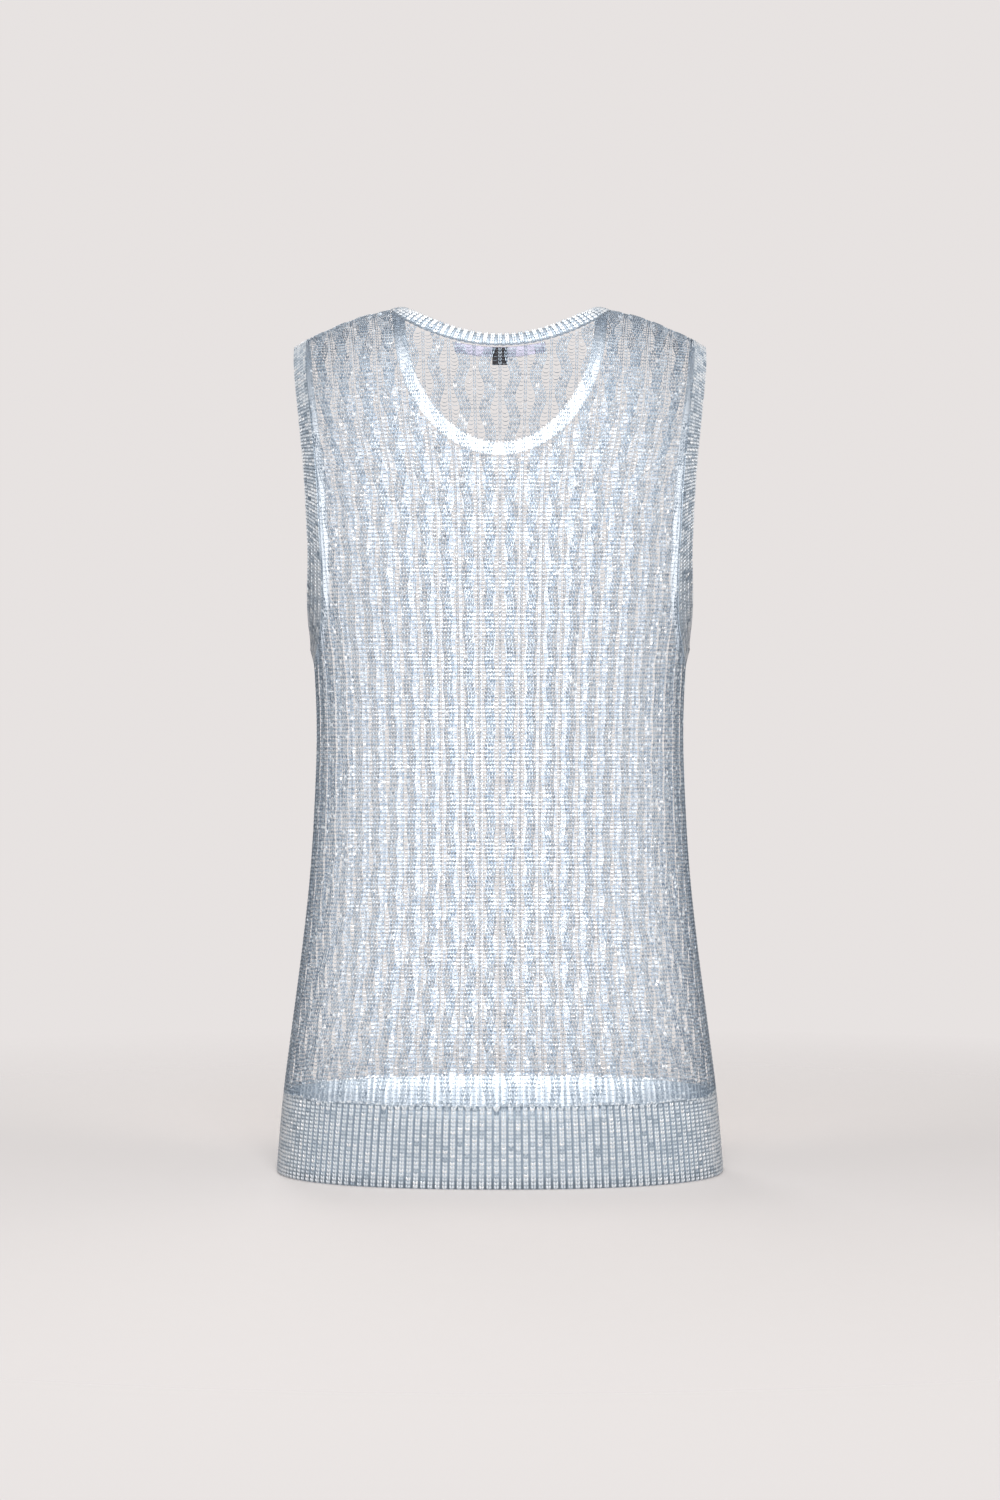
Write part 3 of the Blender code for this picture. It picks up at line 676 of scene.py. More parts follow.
def stitch_legs(sheet, s, v, leg, lift):
    """Both legs of V-shaped stitches whose points lie at repeats s and heights v."""
    parts = []
    n = len(s)
    numbers = yarn_numbers(n, painted_glints_and_dulls=np.where(np.abs(s) > SIDE_PAINTED_GLINTS_FROM, SIDE_PAINTED_GLINTS_AND_DULLS, PAINTED_GLINTS_AND_DULLS))
    normal = creased_normals(sheet.side, sheet.at(s, v + COURSE / 2))
    wide = np.linalg.norm(sheet.at(s + WALE / 2, v) - sheet.at(s - WALE / 2, v), axis=1)
    width, thick = leg
    for way in (-1.0, 1.0):
        foot = sheet.at(s + way * WALE * FOOT_AT, v - COURSE * FOOT_DROP)
        head = sheet.at(s + way * WALE * LEG_SPREAD, v + COURSE * HEAD_REACH)
        foot, head = foot + normal * (lift - 0.0001), head + normal * (lift + 0.0002)
        parts.append(set_copies(LEG, foot, head, normal, wide * width,
                                thick * rng.uniform(0.9, 1.1, n), numbers))
    return parts


def kept(sheet, s, v):
    """Only the stitches that lie inside the panel, from foot to head."""
    foot, head = sheet.at(s, v), sheet.at(s, v + COURSE)
    inside = [inside_panel(sheet.side, p, NECK_MARGIN) for p in (foot, head)]
    return inside[0] & inside[1] & (head[:, 2] > foot[:, 2] + 1e-5)


def rungs(sheet, rows, chain, way):
    """Loose rungs from a chain to the band on one side of it."""
    band = chain + way * 0.5
    inner = np.full(len(rows), chain + way * WALE * CHAIN_EDGE)
    outer = band + swing(band, rows) - way * WALE * (1 + BAND_EDGE)
    if abs(band) > LAST_CHAIN:
        outer = np.full(len(rows), math.copysign(SIDE_WALES[0] - BAND_EDGE * WALE, band))
    ok = kept(sheet, inner, rows) & kept(sheet, outer, rows)
    inner, outer, rows = inner[ok], outer[ok], rows[ok]
    start = sheet.at(inner, rows + COURSE * RUNG_HEIGHT)
    end = sheet.at(outer, rows + COURSE * RUNG_HEIGHT)
    gap = np.linalg.norm(end - start, axis=1)
    down = unit(sheet.at(outer, rows) - end)
    normal = creased_normals(sheet.side, (start + end) / 2)
    thick = rng.uniform(*RUNG_THICKNESS, len(rows))
    numbers = yarn_numbers(len(rows), 0.25)
    sag = down * (gap * rng.uniform(*RUNG_SAG, len(rows)))[:, None]
    return set_copies(RUNG, start, end, normal, thick * 1.1, thick, numbers, sag)


def panel_strip(sheet, first, last):
    """All stitches and rungs whose repeat lies between first and last."""
    rows = np.arange(FIRST_ROW, sheet.length, COURSE)
    parts = []
    for band in np.arange(-REPEATS, REPEATS + 0.1):
        if not first <= band < last:
            continue
        for wale, side_wale in zip(BAND_WALES, SIDE_WALES):
            s = band + swing(band, rows) + wale * WALE
            if abs(band) > LAST_CHAIN:
                s = np.full(len(rows), math.copysign(side_wale, band))
            ok = kept(sheet, s, rows)
            parts += stitch_legs(sheet, s[ok], rows[ok], BAND_LEG, BAND_LIFT)
    for chain in np.arange(-LAST_CHAIN, LAST_CHAIN + 0.1):
        if not first <= chain < last:
            continue
        s = np.full(len(rows), chain)
        ok = kept(sheet, s, rows)
        parts += stitch_legs(sheet, s[ok], rows[ok], CHAIN_LEG, CHAIN_LIFT)
        parts += [rungs(sheet, rows, chain, way) for way in (-1.0, 1.0)]
    return parts


# %% [markdown]
# ### The two panels
# A real panel is one cloth. Here it is three strips side by side, so that no mesh holds more than
# about 120,000 triangles.

# %% Knit the two panels
Strip = namedtuple("Strip", "name first last")
STRIPS = (Strip("left", -20.0, -4.4), Strip("middle", -4.4, 4.4), Strip("right", 4.4, 20.0))
panels = {}
for side in (BACK, FRONT):
    for strip in STRIPS:
        name = f"{side.name}_panel_{strip.name}"
        parts = panel_strip(sheets[side.name], strip.first, strip.last)
        piece = joined_piece(name, parts, open_yarn)
        stand_for(f"{side.name}_panel")
        panels[side.name, strip.name] = piece

# %% [markdown]
# ## Ribs of hem and neck
# A knit-one purl-one rib shows only its raised wales, with narrow dark troughs between them. The
# raised wales are made of stitches again. Behind them a thin rippled wall of cloth closes the
# troughs: it starts as a flat grid, each point is moved to its place on the garment, and Solidify
# gives it a thickness.

# %% The helper for walls of cloth
WALL_TONE = 0.50
TROUGH_PAINTED_SHADE = 0.30  # how much darker the yarn number is painted at the bottom of a trough, as shade
CLOSING_GAP = 0.00002  # points nearer than this are one, where a ring's two ends meet
RING_TURN = 0.99999  # a ring stops this share of the way round, just short of its start


def cloth_wall(name, columns, rows, place, thickness, material, ring=False):
    """A grid laid on the garment by place(u, v), made a wall that grows inwards."""
    deselect()
    bpy.ops.mesh.primitive_grid_add(x_subdivisions=columns, y_subdivisions=rows, size=1.0)
    wall = bpy.context.object
    wall.name = wall.data.name = name
    flat = np.empty(len(wall.data.vertices) * 3, np.float32)
    wall.data.vertices.foreach_get("co", flat)
    u, v = flat.reshape(-1, 3)[:, 0] + 0.5, flat.reshape(-1, 3)[:, 1] + 0.5
    spots, normals, ripple = place(u, v)
    wall.data.vertices.foreach_set("co", spots.astype(np.float32).ravel())
    yarn = wall.data.attributes.new("yarn", "FLOAT", "POINT")
    # place also gives a share of painted shade, which lowers the wall's yarn number
    yarn.data.foreach_set("value", (WALL_TONE - TROUGH_PAINTED_SHADE * ripple).astype(np.float32))
    wall.data.update()
    if ring:
        bpy.ops.object.mode_set(mode="EDIT")
        bpy.ops.mesh.select_all(action="SELECT")
        bpy.ops.mesh.remove_doubles(threshold=CLOSING_GAP)
        bpy.ops.object.mode_set(mode="OBJECT")
    middle = wall.data.polygons[len(wall.data.polygons) // 2]
    near = np.argmin(np.linalg.norm(spots - np.array(middle.center), axis=1))
    if float(np.dot(np.array(middle.normal), normals[near])) < 0:
        wall.data.flip_normals()
    solid = wall.modifiers.new("wall", "SOLIDIFY")
    solid.thickness = thickness
    solid.offset = -1.0
    bpy.ops.object.modifier_apply(modifier=solid.name)
    wall.data.shade_smooth()
    wall.data.materials.append(material)
    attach(wall, "root")
    print(name, len(wall.data.polygons), "faces")
    return wall


# %% [markdown]
# ### The hem
# The hem's rib hangs straight down from the panels, row under row. An uneven row of links picks up
# the panel's lower edge, and strays a little from level as it does in the picture.

# %% The hem's rib
HEM_RIBS = 86  # on each side
HEM_COURSE = 0.00295
RIB_WALL = 0.0013  # thickness of the wall behind a rib
HEM_TROUGH = (0.0004, 0.0008)  # depth of that wall under a rib, and what a trough adds
HEM_LEG = (0.0023, 0.0013)  # width and thickness
# The rib's stitches are set much lighter than the open knit's, as painted light on the lit crests
# of the close ribs.
HEM_YARN = (0.72, 0.17, 0.05)  # middle, spread and share of painted glints, and of dull stitches
SEAM_LEG = (0.0014, 0.0012)
SEAM_YARN = (0.50, 0.20, 0.06)
SEAM_WANDER = 0.0007  # how far the seam above the hem strays from level
SEAM_WAVES = 23.0
HEAD_LIFT = 0.0006  # a leg's upper end stands out over the next one's foot


def hem_at(side, share, z):
    """A point of the hem, at a share of the way from the centre line to a side seam."""
    across, run = section_run(side, z)
    x = np.array([np.interp(abs(q) * r[-1], r, a) for q, r, a in zip(share, run, across)])
    x = np.copysign(x, share)
    return creased(side, np.stack([x, side.facing * depth(side, x, z), z], axis=1))


def hem_ground(side):
    def place(u, v):
        share = (2 * u - 1) * 0.9995
        spots = hem_at(side, share, HEM_Z + (HEM_SEAM_Z - HEM_Z) * v)
        normals = creased_normals(side, spots)
        ripple = 0.5 + 0.5 * np.cos(math.pi * HEM_RIBS * (share + 1))
        sunk = HEM_TROUGH[0] + HEM_TROUGH[1] * ripple
        return spots - normals * sunk[:, None], normals, ripple

    return cloth_wall(f"hem_ground_{side.name}", HEM_RIBS * 4, 6, place, RIB_WALL, ground_yarn)


def seam_links(side):
    """An uneven row of stitches that picks up the panel's lower edge."""
    n = HEM_RIBS * 3
    share = (np.arange(n) + 0.5) / n * 2 - 1 + rng.normal(0, 0.0008, n)
    z = HEM_SEAM_Z + SEAM_WANDER * np.sin(share * SEAM_WAVES) + rng.normal(0, 0.0006, n)
    numbers = yarn_numbers(n, *SEAM_YARN)
    parts = []
    for way in (-1.0, 1.0):
        start = hem_at(side, share, z - 0.0013)
        end = hem_at(side, share + way * 0.5 / n, z + 0.0015)
        normal = creased_normals(side, (start + end) / 2)
        parts.append(set_copies(LEG, start, end + normal * HEAD_LIFT, normal, *SEAM_LEG, numbers))
    return parts


def hem_ribs(side):
    ribs = (np.arange(HEM_RIBS) * 2 + 1) / HEM_RIBS - 1
    rows = np.arange(HEM_Z, HEM_SEAM_Z - HEM_COURSE * 0.4, HEM_COURSE)
    share, z = (x.ravel() for x in np.meshgrid(ribs, rows))
    numbers = yarn_numbers(len(z), *HEM_YARN)
    low, high = np.maximum(z - HEM_COURSE * 0.2, HEM_Z), z + HEM_COURSE * 1.1
    step = 1.0 / HEM_RIBS
    parts = []
    for way in (-1.0, 1.0):
        start = hem_at(side, share + way * step * 0.16, low)
        end = hem_at(side, share + way * step * 0.56, high)
        normal = creased_normals(side, (start + end) / 2)
        parts.append(set_copies(LEG, start - normal * 0.0001, end + normal * HEAD_LIFT, normal,
                                *HEM_LEG, numbers))
    parts += seam_links(side)
    return joined_piece(f"hem_rib_{side.name}_knit", parts, rib_yarn)


hems = {}
for side in (BACK, FRONT):
    hems[side.name, "ground"], hems[side.name, "knit"] = hem_ground(side), hem_ribs(side)
    for part in ("ground", "knit"):
        stand_for(f"hem_rib_{side.name}")

# %% [markdown]
# ## Rings round the neck and the armholes
# A ring is a loop of seam points, a loop of free edge points and the directions between them. The
# neck's rib stands up out of its seam, and the armhole bands lie flat along theirs.

# %% Loops of points
NECK_STEPS = 241  # points worked out on each seam line, before they are made even
ARMHOLE_STEPS = 121
LINE_POINTS = 400


def even(points, count):
    """The same line with points at even distances, the ends kept."""
    run = np.pad(np.cumsum(np.linalg.norm(np.diff(points, axis=0), axis=1)), (1, 0))
    places = np.linspace(0.0, run[-1], count)
    return np.stack([np.interp(places, run, points[:, axis]) for axis in range(3)], axis=1), run[-1]


def neck_line(side):
    x = NECK_SEAM_X * np.sin(np.linspace(-math.pi / 2, math.pi / 2, NECK_STEPS))
    z = neck_seam_z(side, x)
    y = side.facing * depth(side, x, z)
    y[[0, -1]] = 0.0
    return np.stack([x, y, z], axis=1)


def armhole_lines(side, way):
    """Seam and free edge of an armhole on one side of the garment, from the underarm up."""
    turns = np.linspace(0.0, math.pi, ARMHOLE_STEPS)
    lines = []
    for lowest, lip, inset in ((UNDERARM_Z, 0.0, ARMHOLE_BAND), (ARMHOLE_Z, UNDERARM_LIP, 0.0)):
        top = float(along(SHOULDER_LINE, "z", TIP_X - inset))
        z = (lowest + top) / 2 - (top - lowest) / 2 * np.cos(turns)
        straight = np.minimum(along(ARMHOLE_EDGE, "x", z), TIP_X) - inset
        turn = armhole_turn(z, lowest)
        deep = depth(side, straight, z) * turn
        if inset > 0:  # the seam lies on the panel's edge, which is one oval below the middle
            middle = along(ARMHOLE_EDGE, "x", ARMHOLE_MID_Z) - inset
            oval = depth(side, middle, ARMHOLE_MID_Z) * turn
            deep = np.where(z < ARMHOLE_MID_Z, oval, deep)
        share = deep / along(SECTIONS, side.name, z)
        low = along(SECTIONS, "half_width", z) * superellipse(share) + lip * (1 - turn)
        x = np.where(z < ARMHOLE_MID_Z, low, straight)
        lines.append(np.stack([way * x, side.facing * deep, z], axis=1))
    return lines


Ring = namedtuple("Ring", "starts ends normals length")


def ring_of(starts, ends, way, length):
    following = np.roll(starts, -1, axis=0) - np.roll(starts, 1, axis=0)
    return Ring(starts, ends, unit(np.cross(ends - starts, following) * way), length)


def neck_ring(count):
    back, front = (even(neck_line(side), LINE_POINTS)[0] for side in (BACK, FRONT))
    loop, length = even(np.concatenate([back[::-1], front[1:]]), count + 1)
    starts = loop[:-1]
    corner = np.abs(starts[:, 0]) / NECK_SEAM_X
    ends = starts * np.array([NECK_EDGE_X / NECK_SEAM_X, NECK_LEAN, 1.0])
    ends[:, 2] += NECK_BAND - (NECK_BAND - NECK_EDGE_RISE) * corner**6
    return ring_of(starts, ends, 1.0, length)


def armhole_ring(way, count):
    halves = [armhole_lines(side, way) for side in (BACK, FRONT)]
    loops = []
    for back, front in zip(*halves):
        back, front = (even(line, count // 2 + 1)[0] for line in (back, front))
        loops.append(np.concatenate([back[:-1], front[:0:-1]]))
    starts, ends = loops
    length = float(np.linalg.norm(np.roll(starts, -1, axis=0) - starts, axis=1).sum())
    return ring_of(starts, ends, way, length)


def ring_at(ring, turn, share):
    """Points and normals of a ring: turn runs once round it, share from seam to free edge."""
    place = (np.asarray(turn) % 1.0) * len(ring.starts)
    i = place.astype(int) % len(ring.starts)
    k = (i + 1) % len(ring.starts)
    t = (place - np.floor(place))[:, None]
    start = ring.starts[i] * (1 - t) + ring.starts[k] * t
    end = ring.ends[i] * (1 - t) + ring.ends[k] * t
    normal = ring.normals[i] * (1 - t) + ring.normals[k] * t
    return start + (end - start) * np.asarray(share)[:, None], normal


# %% [markdown]
# ### The neck
# The neck's rib is knitted like the hem's, but round a closed loop, and it stands up out of the
# neck seam. Its wall bows out a little across its width, as a knitted edge does.

# %% The neck's rib
NECK_RIB_WIDTH = 0.0060
NECK_COURSES = 4
NECK_POINTS = 720
NECK_TROUGH = (0.0006, 0.0009)
NECK_LEG = (0.0025, 0.0015)
# As in the hem, the neck rib's stitches are set lighter, as painted light on their lit crests.
NECK_YARN = (0.66, 0.18, 0.10)
NECK_BOW = 0.0010
NECK_TROUGH_PAINTED_SHADE = 0.55  # a neck trough's painted shade, as a share of that in a hem trough

neck = neck_ring(NECK_POINTS)
neck_ribs = round(neck.length / NECK_RIB_WIDTH)
print("neck:", round(neck.length, 3), "m round,", neck_ribs, "ribs")


def bowed(height, share):
    """How far a band stands out at a share of its width, from 0 at both edges to its height."""
    return height * 4 * share * (1 - share)


def neck_ground(u, v):
    share = 0.04 + 0.94 * v
    spots, normals = ring_at(neck, u * RING_TURN, share)
    ripple = 0.5 + 0.5 * np.cos(2 * math.pi * neck_ribs * u)
    lift = bowed(NECK_BOW, share) - NECK_TROUGH[0] - NECK_TROUGH[1] * ripple
    return spots + normals * lift[:, None], normals, NECK_TROUGH_PAINTED_SHADE * ripple


def neck_stitches():
    ribs = (np.arange(neck_ribs) + 0.5) / neck_ribs
    turn, row = (x.ravel() for x in np.meshgrid(ribs, np.arange(NECK_COURSES)))
    numbers = yarn_numbers(len(turn), *NECK_YARN)
    low = np.maximum((row - 0.25) / NECK_COURSES, 0.0)
    high = np.minimum((row + 1.25) / NECK_COURSES, 0.99)
    parts = []
    for way in (-1.0, 1.0):
        start, normal = ring_at(neck, turn + way * 0.07 / neck_ribs, low)
        end = ring_at(neck, turn + way * 0.24 / neck_ribs, high)[0]
        lift = bowed(NECK_BOW, (low + high) / 2)[:, None] * normal
        parts.append(set_copies(LEG, start + lift, end + lift + normal * 0.0004, normal,
                                *NECK_LEG, numbers))
    return joined_piece("neck_rib_knit", parts, rib_yarn)


neck_wall = cloth_wall("neck_rib_ground", neck_ribs * 4, 5, neck_ground, RIB_WALL, ground_yarn,
                       ring=True)
neck_knit = neck_stitches()
for piece in (neck_wall, neck_knit):
    stand_for("neck_rib")

# %% [markdown]
# ## The armhole bands
# Each band is plain knitting, taken to be folded double, with its wales running round the armhole.
# A row of linking stitches, painted dark as the shade in the seam's groove, shows where it joins
# the panel.

# %% The two armhole bands
BAND_WALES_ACROSS = 4
BAND_COURSE = 0.0030
BAND_POINTS = 480
BAND_WALL = 0.0014
BAND_YARN_LEG = (0.0021, 0.0012)
BAND_YARN = (0.62, 0.22, 0.10)
LINK_LEG = (0.0010, 0.0009)
# the links are painted dark as the shade in the groove of the seam
LINK_PAINTED_SHADE_YARN = (0.22, 0.06, 0.02)
LINK_ENDS = (-0.05, 0.03)  # shares of the band's width, across the seam
BAND_RISE = 0.0003


def band_stitches(ring, courses):
    wide = 1.0 / BAND_WALES_ACROSS
    across = (np.arange(BAND_WALES_ACROSS) + 0.5) / BAND_WALES_ACROSS
    turn, middle = (x.ravel() for x in np.meshgrid(np.arange(courses) / courses, across))
    numbers = yarn_numbers(len(turn), *BAND_YARN)
    parts = []
    for way in (-1.0, 1.0):
        start, n0 = ring_at(ring, turn - 0.1 / courses, middle + way * wide * FOOT_AT)
        end, n1 = ring_at(ring, turn + 1.1 / courses, middle + way * wide * LEG_SPREAD)
        parts.append(set_copies(LEG, start + n0 * BAND_RISE, end + n1 * HEAD_LIFT, n0,
                                *BAND_YARN_LEG, numbers))
    return parts


def band_links(ring, courses):
    turn = np.arange(courses * 2) / (courses * 2)
    start, n0 = ring_at(ring, turn, np.full(len(turn), LINK_ENDS[0]))
    end, n1 = ring_at(ring, turn + 0.8 / courses, np.full(len(turn), LINK_ENDS[1]))
    return set_copies(LEG, start + n0 * BAND_RISE, end + n1 * BAND_RISE, n0, *LINK_LEG,
                      yarn_numbers(len(turn), *LINK_PAINTED_SHADE_YARN))


arm_bands, arm_lengths = {}, {}
for name, way in (("right", 1.0), ("left", -1.0)):
    ring = armhole_ring(way, BAND_POINTS)
    courses = round(ring.length / BAND_COURSE)

    def band_ground(u, v, ring=ring):
        share = 0.03 + 0.95 * v
        spots, normals = ring_at(ring, u * RING_TURN, share)
        lift = bowed(BAND_RISE, share) - BAND_RISE
        # the wall's yarn number is lowered towards the free edge, on the same scale as the troughs'
        # painted shade
        return spots + normals * lift[:, None], normals, 0.3 * share

    wall = cloth_wall(f"armhole_band_{name}_ground", courses, 6, band_ground, BAND_WALL,
                      ground_yarn, ring=True)
    parts = band_stitches(ring, courses) + [band_links(ring, courses)]
    knit = joined_piece(f"armhole_band_{name}_knit", parts, rib_yarn)
    for piece in (wall, knit):
        stand_for(f"armhole_band_{name}")
    arm_bands[name, "ground"], arm_bands[name, "knit"] = wall, knit
    arm_lengths[name] = ring.length

# %% [markdown]
# ## Seams of the shoulders and the sides
# Back and front are linked along the shoulders, where the linked edge is a close row of stitches
# over the top. Down each side a single chain of linking stitches closes the tube.

# %% Link the shoulders
SHOULDER_STITCH = 0.0022
SHOULDER_LEG = (0.0015, 0.0012)
SHOULDER_YARN = (0.48, 0.12, 0.06)
SHOULDER_ROWS = (-2, -1, 0, 1, 2)
ROW_PITCH = 0.0026
ROW_HALF = 0.0016  # half the reach of a stitch over the ridge, so that rows overlap
TOP_DEPTH = 0.094  # the depth that the top of the shoulder is rounded over
SEAM_LIFT = 0.0004


def ridge_drop(ridge, y):
    """How far the rounded shoulder has fallen at a distance y from its ridge."""
    fall = (ridge - SHOULDER_START_Z) * abs(y) ** SHOULDER_ROUND
    return fall / (SHOULDER_ROUND * TOP_DEPTH ** SHOULDER_ROUND)


shoulder_parts = []
for way in (-1.0, 1.0):
    x = way * np.arange(NECK_SEAM_X + 0.001, TIP_X - ARMHOLE_BAND, SHOULDER_STITCH)
    ridge = along(SHOULDER_LINE, "z", np.abs(x))
    n = len(x)
    up = np.tile([[0.0, 0.0, 1.0]], (n, 1))
    for row in SHOULDER_ROWS:
        low, high = row * ROW_PITCH - ROW_HALF, row * ROW_PITCH + ROW_HALF
        z0, z1 = (ridge - ridge_drop(ridge, y) + SEAM_LIFT for y in (low, high))
        start = np.stack([x + rng.normal(0, 0.0002, n), np.full(n, low), z0], axis=1)
        end = np.stack([x + way * SHOULDER_STITCH / 2, np.full(n, high), z1], axis=1)
        shoulder_parts.append(set_copies(LEG, start, end, up, *SHOULDER_LEG,
                                         yarn_numbers(n, *SHOULDER_YARN)))
shoulder_seams = joined_piece("shoulder_seams", shoulder_parts, rib_yarn)

# %% [markdown]
# ### The side seams
# These are only one chain wide. The seam keeps the open knit's own yarn, so that it is hardly seen.

# %% Link the sides
SIDE_LEG = (0.0010, 0.0010)
SIDE_YARN = (0.30, 0.08, 0.04)
FOOT_SPREAD, HEAD_SPREAD = 0.0002, 0.0008

for name, way in (("left", -1.0), ("right", 1.0)):
    rows = np.arange(FIRST_ROW, UNDERARM_Z - HEM_SEAM_Z - COURSE, COURSE)
    n = len(rows)
    foot = sheets["back"].at(np.full(n, way * REPEATS), rows)
    head = sheets["back"].at(np.full(n, way * REPEATS), rows + COURSE * 1.1)
    out = np.tile([[way, 0.0, 0.0]], (n, 1))
    numbers = yarn_numbers(n, *SIDE_YARN)
    parts = []
    for turn in (-1.0, 1.0):
        shift = np.array([0.0, turn, 0.0])
        start, end = foot + shift * FOOT_SPREAD, head + shift * HEAD_SPREAD
        parts.append(set_copies(LEG, start, end, out, *SIDE_LEG, numbers))
    joined_piece(f"side_seam_{name}", parts, open_yarn)

# %% [markdown]
# ## Tape and tab inside the back neck
# A short woven tape lies over the neck seam inside, and a small black woven tab hangs from it. Both
# are seen through the open stitches. Each is a strip of the back's own surface, moved inwards.

# %% Lay the tape and the tab
NECK_SLOPE = 0.83  # how much of a length along the upper back is height
WOVEN_WALL = 0.0009
THREAD_PAINTED_SHADE = 0.72  # how much darker woven cloth is painted between its threads, as shade in the grooves of the weave


def woven(name, color, scale, rough):
    material, nodes, links, shader = blank_material(name)
    place = nodes.new("ShaderNodeTexCoord")
    threads = set_inputs(nodes.new("ShaderNodeTexWave"), Scale=scale, Distortion=0.6)
    shade = nodes.new("ShaderNodeValToRGB")
    # the grooves between threads are painted darker as shade
    shade.color_ramp.elements[0].color = tuple(c * THREAD_PAINTED_SHADE for c in color) + (1.0,)
    shade.color_ramp.elements[1].color = color + (1.0,)
    bump = set_inputs(nodes.new("ShaderNodeBump"), Strength=0.3, Distance=0.0003)
    links.new(place.outputs["Object"], threads.inputs["Vector"])
    links.new(threads.outputs["Fac"], shade.inputs["Fac"])
    links.new(threads.outputs["Fac"], bump.inputs["Height"])
    links.new(shade.outputs["Color"], shader.inputs["Base Color"])
    links.new(bump.outputs["Normal"], shader.inputs["Normal"])
    set_inputs(shader, Roughness=rough)
    return material


def inside_strip(name, half_span, top, bottom, depth_inside, material):
    """A strip of cloth between two lengths below the neck seam, inside the back."""
    def place(u, v):
        x = (2 * u - 1) * half_span
        z = neck_seam_z(BACK, x) - (top + (bottom - top) * (1 - v)) * NECK_SLOPE
        spots = np.stack([x, BACK.facing * depth(BACK, x, z), z], axis=1)
        normals = outward(BACK, spots)
        return spots - normals * depth_inside, normals, 0.0 * u

    return cloth_wall(name, 24, 12, place, WOVEN_WALL, material)


tape = inside_strip("neck_tape_cloth", 0.0355, 0.0005, 0.0105, 0.0030,
                    woven("lavender_tape", (0.66, 0.64, 0.79), 900.0, 0.75))
tab = inside_strip("size_tab_cloth", 0.0060, 0.0020, 0.0190, 0.0016,
                   woven("black_tab", (0.030, 0.028, 0.034), 1100.0, 0.7))
stand_for("neck_tape")
stand_for("size_tab")

# %% [markdown]
# ## The cut of every piece
# Each sheet of cloth says how large it was before it was sewn up and worn. A loop knit is partly
# holes, so its area is what its yarn covers, reckoned from the stitches as a knitter would: one leg
# is a lozenge of 3.7 by 1.25 mm, so three band wales, one chain and two rungs cover 0.43 of a
# repeat. The necks and armholes cut from the panels' rectangles come off that. An armhole band is
# taken to be folded, so it is cut twice as wide as it shows.

OPEN_COVER = 0.43  # yarn on one repeat of the open knit
HEM_COVER = 0.53  # two legs of 3.8 by 2.3 mm on each 5.6 by 2.95 mm of rib
NECK_COVER = 0.62
BAND_COVER = 0.48  # the legs lie on one of the two folded faces
SEAM_COVER = 0.45
WHOLE = 1.0  # closed cloth
STRIP_FLAT = (0.150, 0.645)  # width and length
HEM_FLAT = (0.480, 0.063)
Cut = namedtuple("Cut", "pieces width length cover held rests_on")
SIDES = ("back", "front")


def strip_cut(side, names, share):
    """Strips of a panel, with the share of them that neck and armholes leave."""
    pieces = [panels[side, name] for name in names]
    return Cut(pieces, *STRIP_FLAT, OPEN_COVER * share, "hung", ["shoulder_seams"])


def hem_cut(side, part, cover):
    return Cut([hems[side, part]], *HEM_FLAT, cover, "hung", [f"{side}_panel_middle"])


def band_cut(name, part, cover):
    return Cut([arm_bands[name, part]], arm_lengths[name], 2 * ARMHOLE_BAND, cover, "folded",
               [f"back_panel_{name}"])


CUTS = (
    strip_cut("back", ["middle"], 0.96),
    strip_cut("back", ["left", "right"], 0.80),
    strip_cut("front", ["middle"], 0.88),
    strip_cut("front", ["left", "right"], 0.80),
    *(hem_cut(side, "ground", WHOLE) for side in SIDES),
    *(hem_cut(side, "knit", HEM_COVER) for side in SIDES),
    Cut([neck_wall], neck.length, 0.012, WHOLE, "stretched", ["back_panel_middle"]),
    Cut([neck_knit], neck.length, 0.012, NECK_COVER, "stretched", ["back_panel_middle"]),
    *(band_cut(name, "ground", WHOLE) for name in ("right", "left")),
    *(band_cut(name, "knit", BAND_COVER) for name in ("right", "left")),
    Cut([shoulder_seams], 0.131, 0.013, SEAM_COVER, "stretched", ["back_panel_middle"]),
    Cut([tape], 0.071, 0.010, WHOLE, "hung", ["neck_rib_ground"]),
    Cut([tab], 0.012, 0.017, WHOLE, "hung", ["neck_tape_cloth"]),
)

for cut in CUTS:
    for piece in cut.pieces:
        print(piece.name, "was cut", round(cut.width, 3), "by", round(cut.length, 3), "m")

# %% [markdown]
# ## The floor, the light and the camera
# The top is shown on a plain pale ground under soft studio light. A pale floor fades into a world
# of the same beige, so that no hard horizon shows.

# %% Lay the floor
PAPER = (0.800, 0.765, 0.755)
FLOOR_Z = HEM_Z - 0.0008
FLOOR_SHADE = 0.92  # the lamps lift the floor back to the paper's brightness
FLOOR_RADIUS = 3.0
FADE_FROM, FADE_TO = 0.35, 1.5  # distances over which the floor fades into the world
ROOM_LIGHT = 0.34  # the paper's own brightness is 1


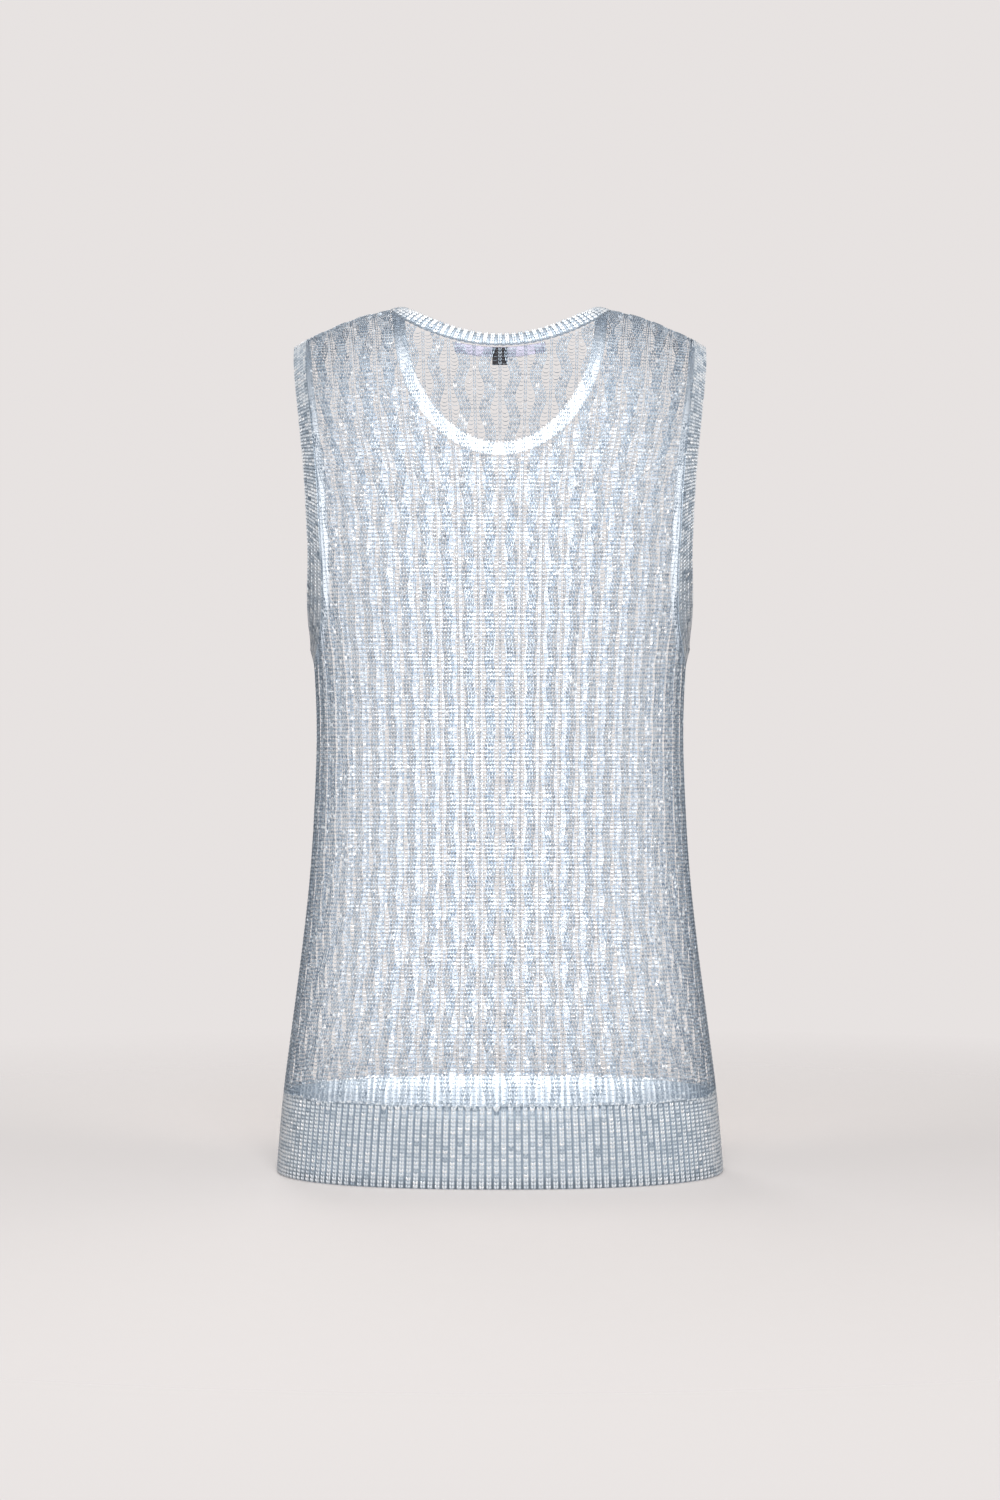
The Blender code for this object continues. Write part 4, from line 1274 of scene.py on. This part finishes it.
def paper_material():
    material, nodes, links, shader = blank_material("paper")
    place = nodes.new("ShaderNodeTexCoord")
    grain = set_inputs(nodes.new("ShaderNodeTexNoise"), Scale=60.0)
    shade = nodes.new("ShaderNodeValToRGB")
    for stop, tone in zip(shade.color_ramp.elements, (FLOOR_SHADE * 0.985, FLOOR_SHADE)):
        stop.color = tuple(c * tone for c in PAPER) + (1.0,)
    reach = nodes.new("ShaderNodeVectorMath")
    reach.operation = "LENGTH"
    fade = set_inputs(nodes.new("ShaderNodeMapRange"), From_Min=FADE_FROM, From_Max=FADE_TO,
                      To_Min=1.0, To_Max=0.0)
    links.new(place.outputs["Object"], grain.inputs["Vector"])
    links.new(grain.outputs["Fac"], shade.inputs["Fac"])
    links.new(shade.outputs["Color"], shader.inputs["Base Color"])
    links.new(place.outputs["Object"], reach.inputs[0])
    links.new(reach.outputs["Value"], fade.inputs["Value"])
    links.new(fade.outputs["Result"], shader.inputs["Alpha"])
    set_inputs(shader, Roughness=0.9)
    return material


def paper_floor():
    deselect()
    bpy.ops.mesh.primitive_circle_add(vertices=96, radius=FLOOR_RADIUS, fill_type="NGON",
                                      location=(0.0, 0.0, FLOOR_Z))
    floor = bpy.context.object
    bpy.ops.object.transform_apply(location=True, rotation=True, scale=True)
    floor.name = floor.data.name = "paper_floor"
    floor.data.materials.append(paper_material())
    print("floor at", round(FLOOR_Z, 4), "m")


paper_floor()

# %% Fill the room with the paper's colour
world = bpy.data.worlds.new("studio")
bpy.context.scene.world = world
world.use_nodes = True
nodes, links = world.node_tree.nodes, world.node_tree.links
room = set_inputs(nodes["Background"], Color=PAPER + (1.0,), Strength=ROOM_LIGHT)
seen = set_inputs(nodes.new("ShaderNodeBackground"), Color=PAPER + (1.0,))
pick, mix = nodes.new("ShaderNodeLightPath"), nodes.new("ShaderNodeMixShader")
links.new(pick.outputs["Is Camera Ray"], mix.inputs["Fac"])
links.new(room.outputs[0], mix.inputs[1])
links.new(seen.outputs[0], mix.inputs[2])
links.new(mix.outputs[0], nodes["World Output"].inputs["Surface"])
bpy.context.scene.view_settings.view_transform = "Standard"
print("room light", ROOM_LIGHT)

# %% Hang the lights
Lamp = namedtuple("Lamp", "name place aim size power color")
LAMPS = (
    Lamp("key", (0.2, -2.6, 0.5), (0.0, 0.0, -0.35), 0.9, 36.0, (1.0, 0.99, 0.97)),
    Lamp("top", (0.0, -1.1, 1.3), (0.0, 0.0, -0.05), 0.7, 20.0, (1.0, 1.0, 1.0)),
    Lamp("low_left", (-1.7, -1.0, -0.55), (0.0, 0.0, -0.60), 0.7, 6.5, (0.97, 0.98, 1.0)),
    Lamp("low_right", (1.7, -1.0, -0.55), (0.0, 0.0, -0.60), 0.7, 6.5, (0.97, 0.98, 1.0)),
    Lamp("rim", (-0.6, 2.6, 0.6), (0.0, 0.0, -0.35), 1.0, 24.0, (1.0, 1.0, 1.0)),
)


def hang(name, shape, place, toward, up, power, color):
    """An area lamp at a place, facing along a direction."""
    light = bpy.data.lights.new(name, "AREA")
    light.shape, light.energy, light.color = shape, power, color
    holder = bpy.data.objects.new(name, light)
    holder.location = place
    holder.rotation_euler = toward.to_track_quat("-Z", up).to_euler()
    bpy.context.scene.collection.objects.link(holder)
    print(name, "lamp,", power, "W")
    return holder


for lamp in LAMPS:
    toward = Vector(lamp.aim) - Vector(lamp.place)
    holder = hang(lamp.name, "DISK", lamp.place, toward, "Y", lamp.power, lamp.color)
    holder.data.size = lamp.size

# %% [markdown]
# ### Light inside
# Two flat soft lamps stand back to back in the middle. They keep the far side pale, so that the
# openings read white, as they do in the picture. An empty top would look darker there.

# %% Light the inside
INNER_SIZE = (0.24, 0.58)
INNER_Z = -0.340
INNER_COLOR = (1.0, 0.90, 0.82)
INNER_SPREAD = math.radians(130)
for name, way, power in (("inner_front", 1.0, 3.1), ("inner_back", -1.0, 0.7)):
    toward = Vector((0.0, way, 0.0))
    holder = hang(name, "RECTANGLE", (0.0, 0.004 * way, INNER_Z), toward, "Z", power, INNER_COLOR)
    holder.data.size, holder.data.size_y = INNER_SIZE
    holder.data.spread = INNER_SPREAD
    holder.visible_camera = False
    holder.visible_glossy = False

# %% [markdown]
# ### The camera
# It stands level behind the top, at the height of its middle, and far enough off to look flat.

# %% Place the camera
CAMERA_DISTANCE = 2.6
MIDDLE_Z = -0.352
LENS = 78.0
camera = bpy.data.objects.new("camera", bpy.data.cameras.new("camera"))
camera.location = (0.0, -CAMERA_DISTANCE, MIDDLE_Z)
camera.rotation_euler = (math.pi / 2, 0.0, 0.0)
camera.data.lens = LENS
camera.data.sensor_width = 36.0
bpy.context.scene.collection.objects.link(camera)
bpy.context.scene.camera = camera
print("camera", CAMERA_DISTANCE, "m off, lens", LENS, "mm")
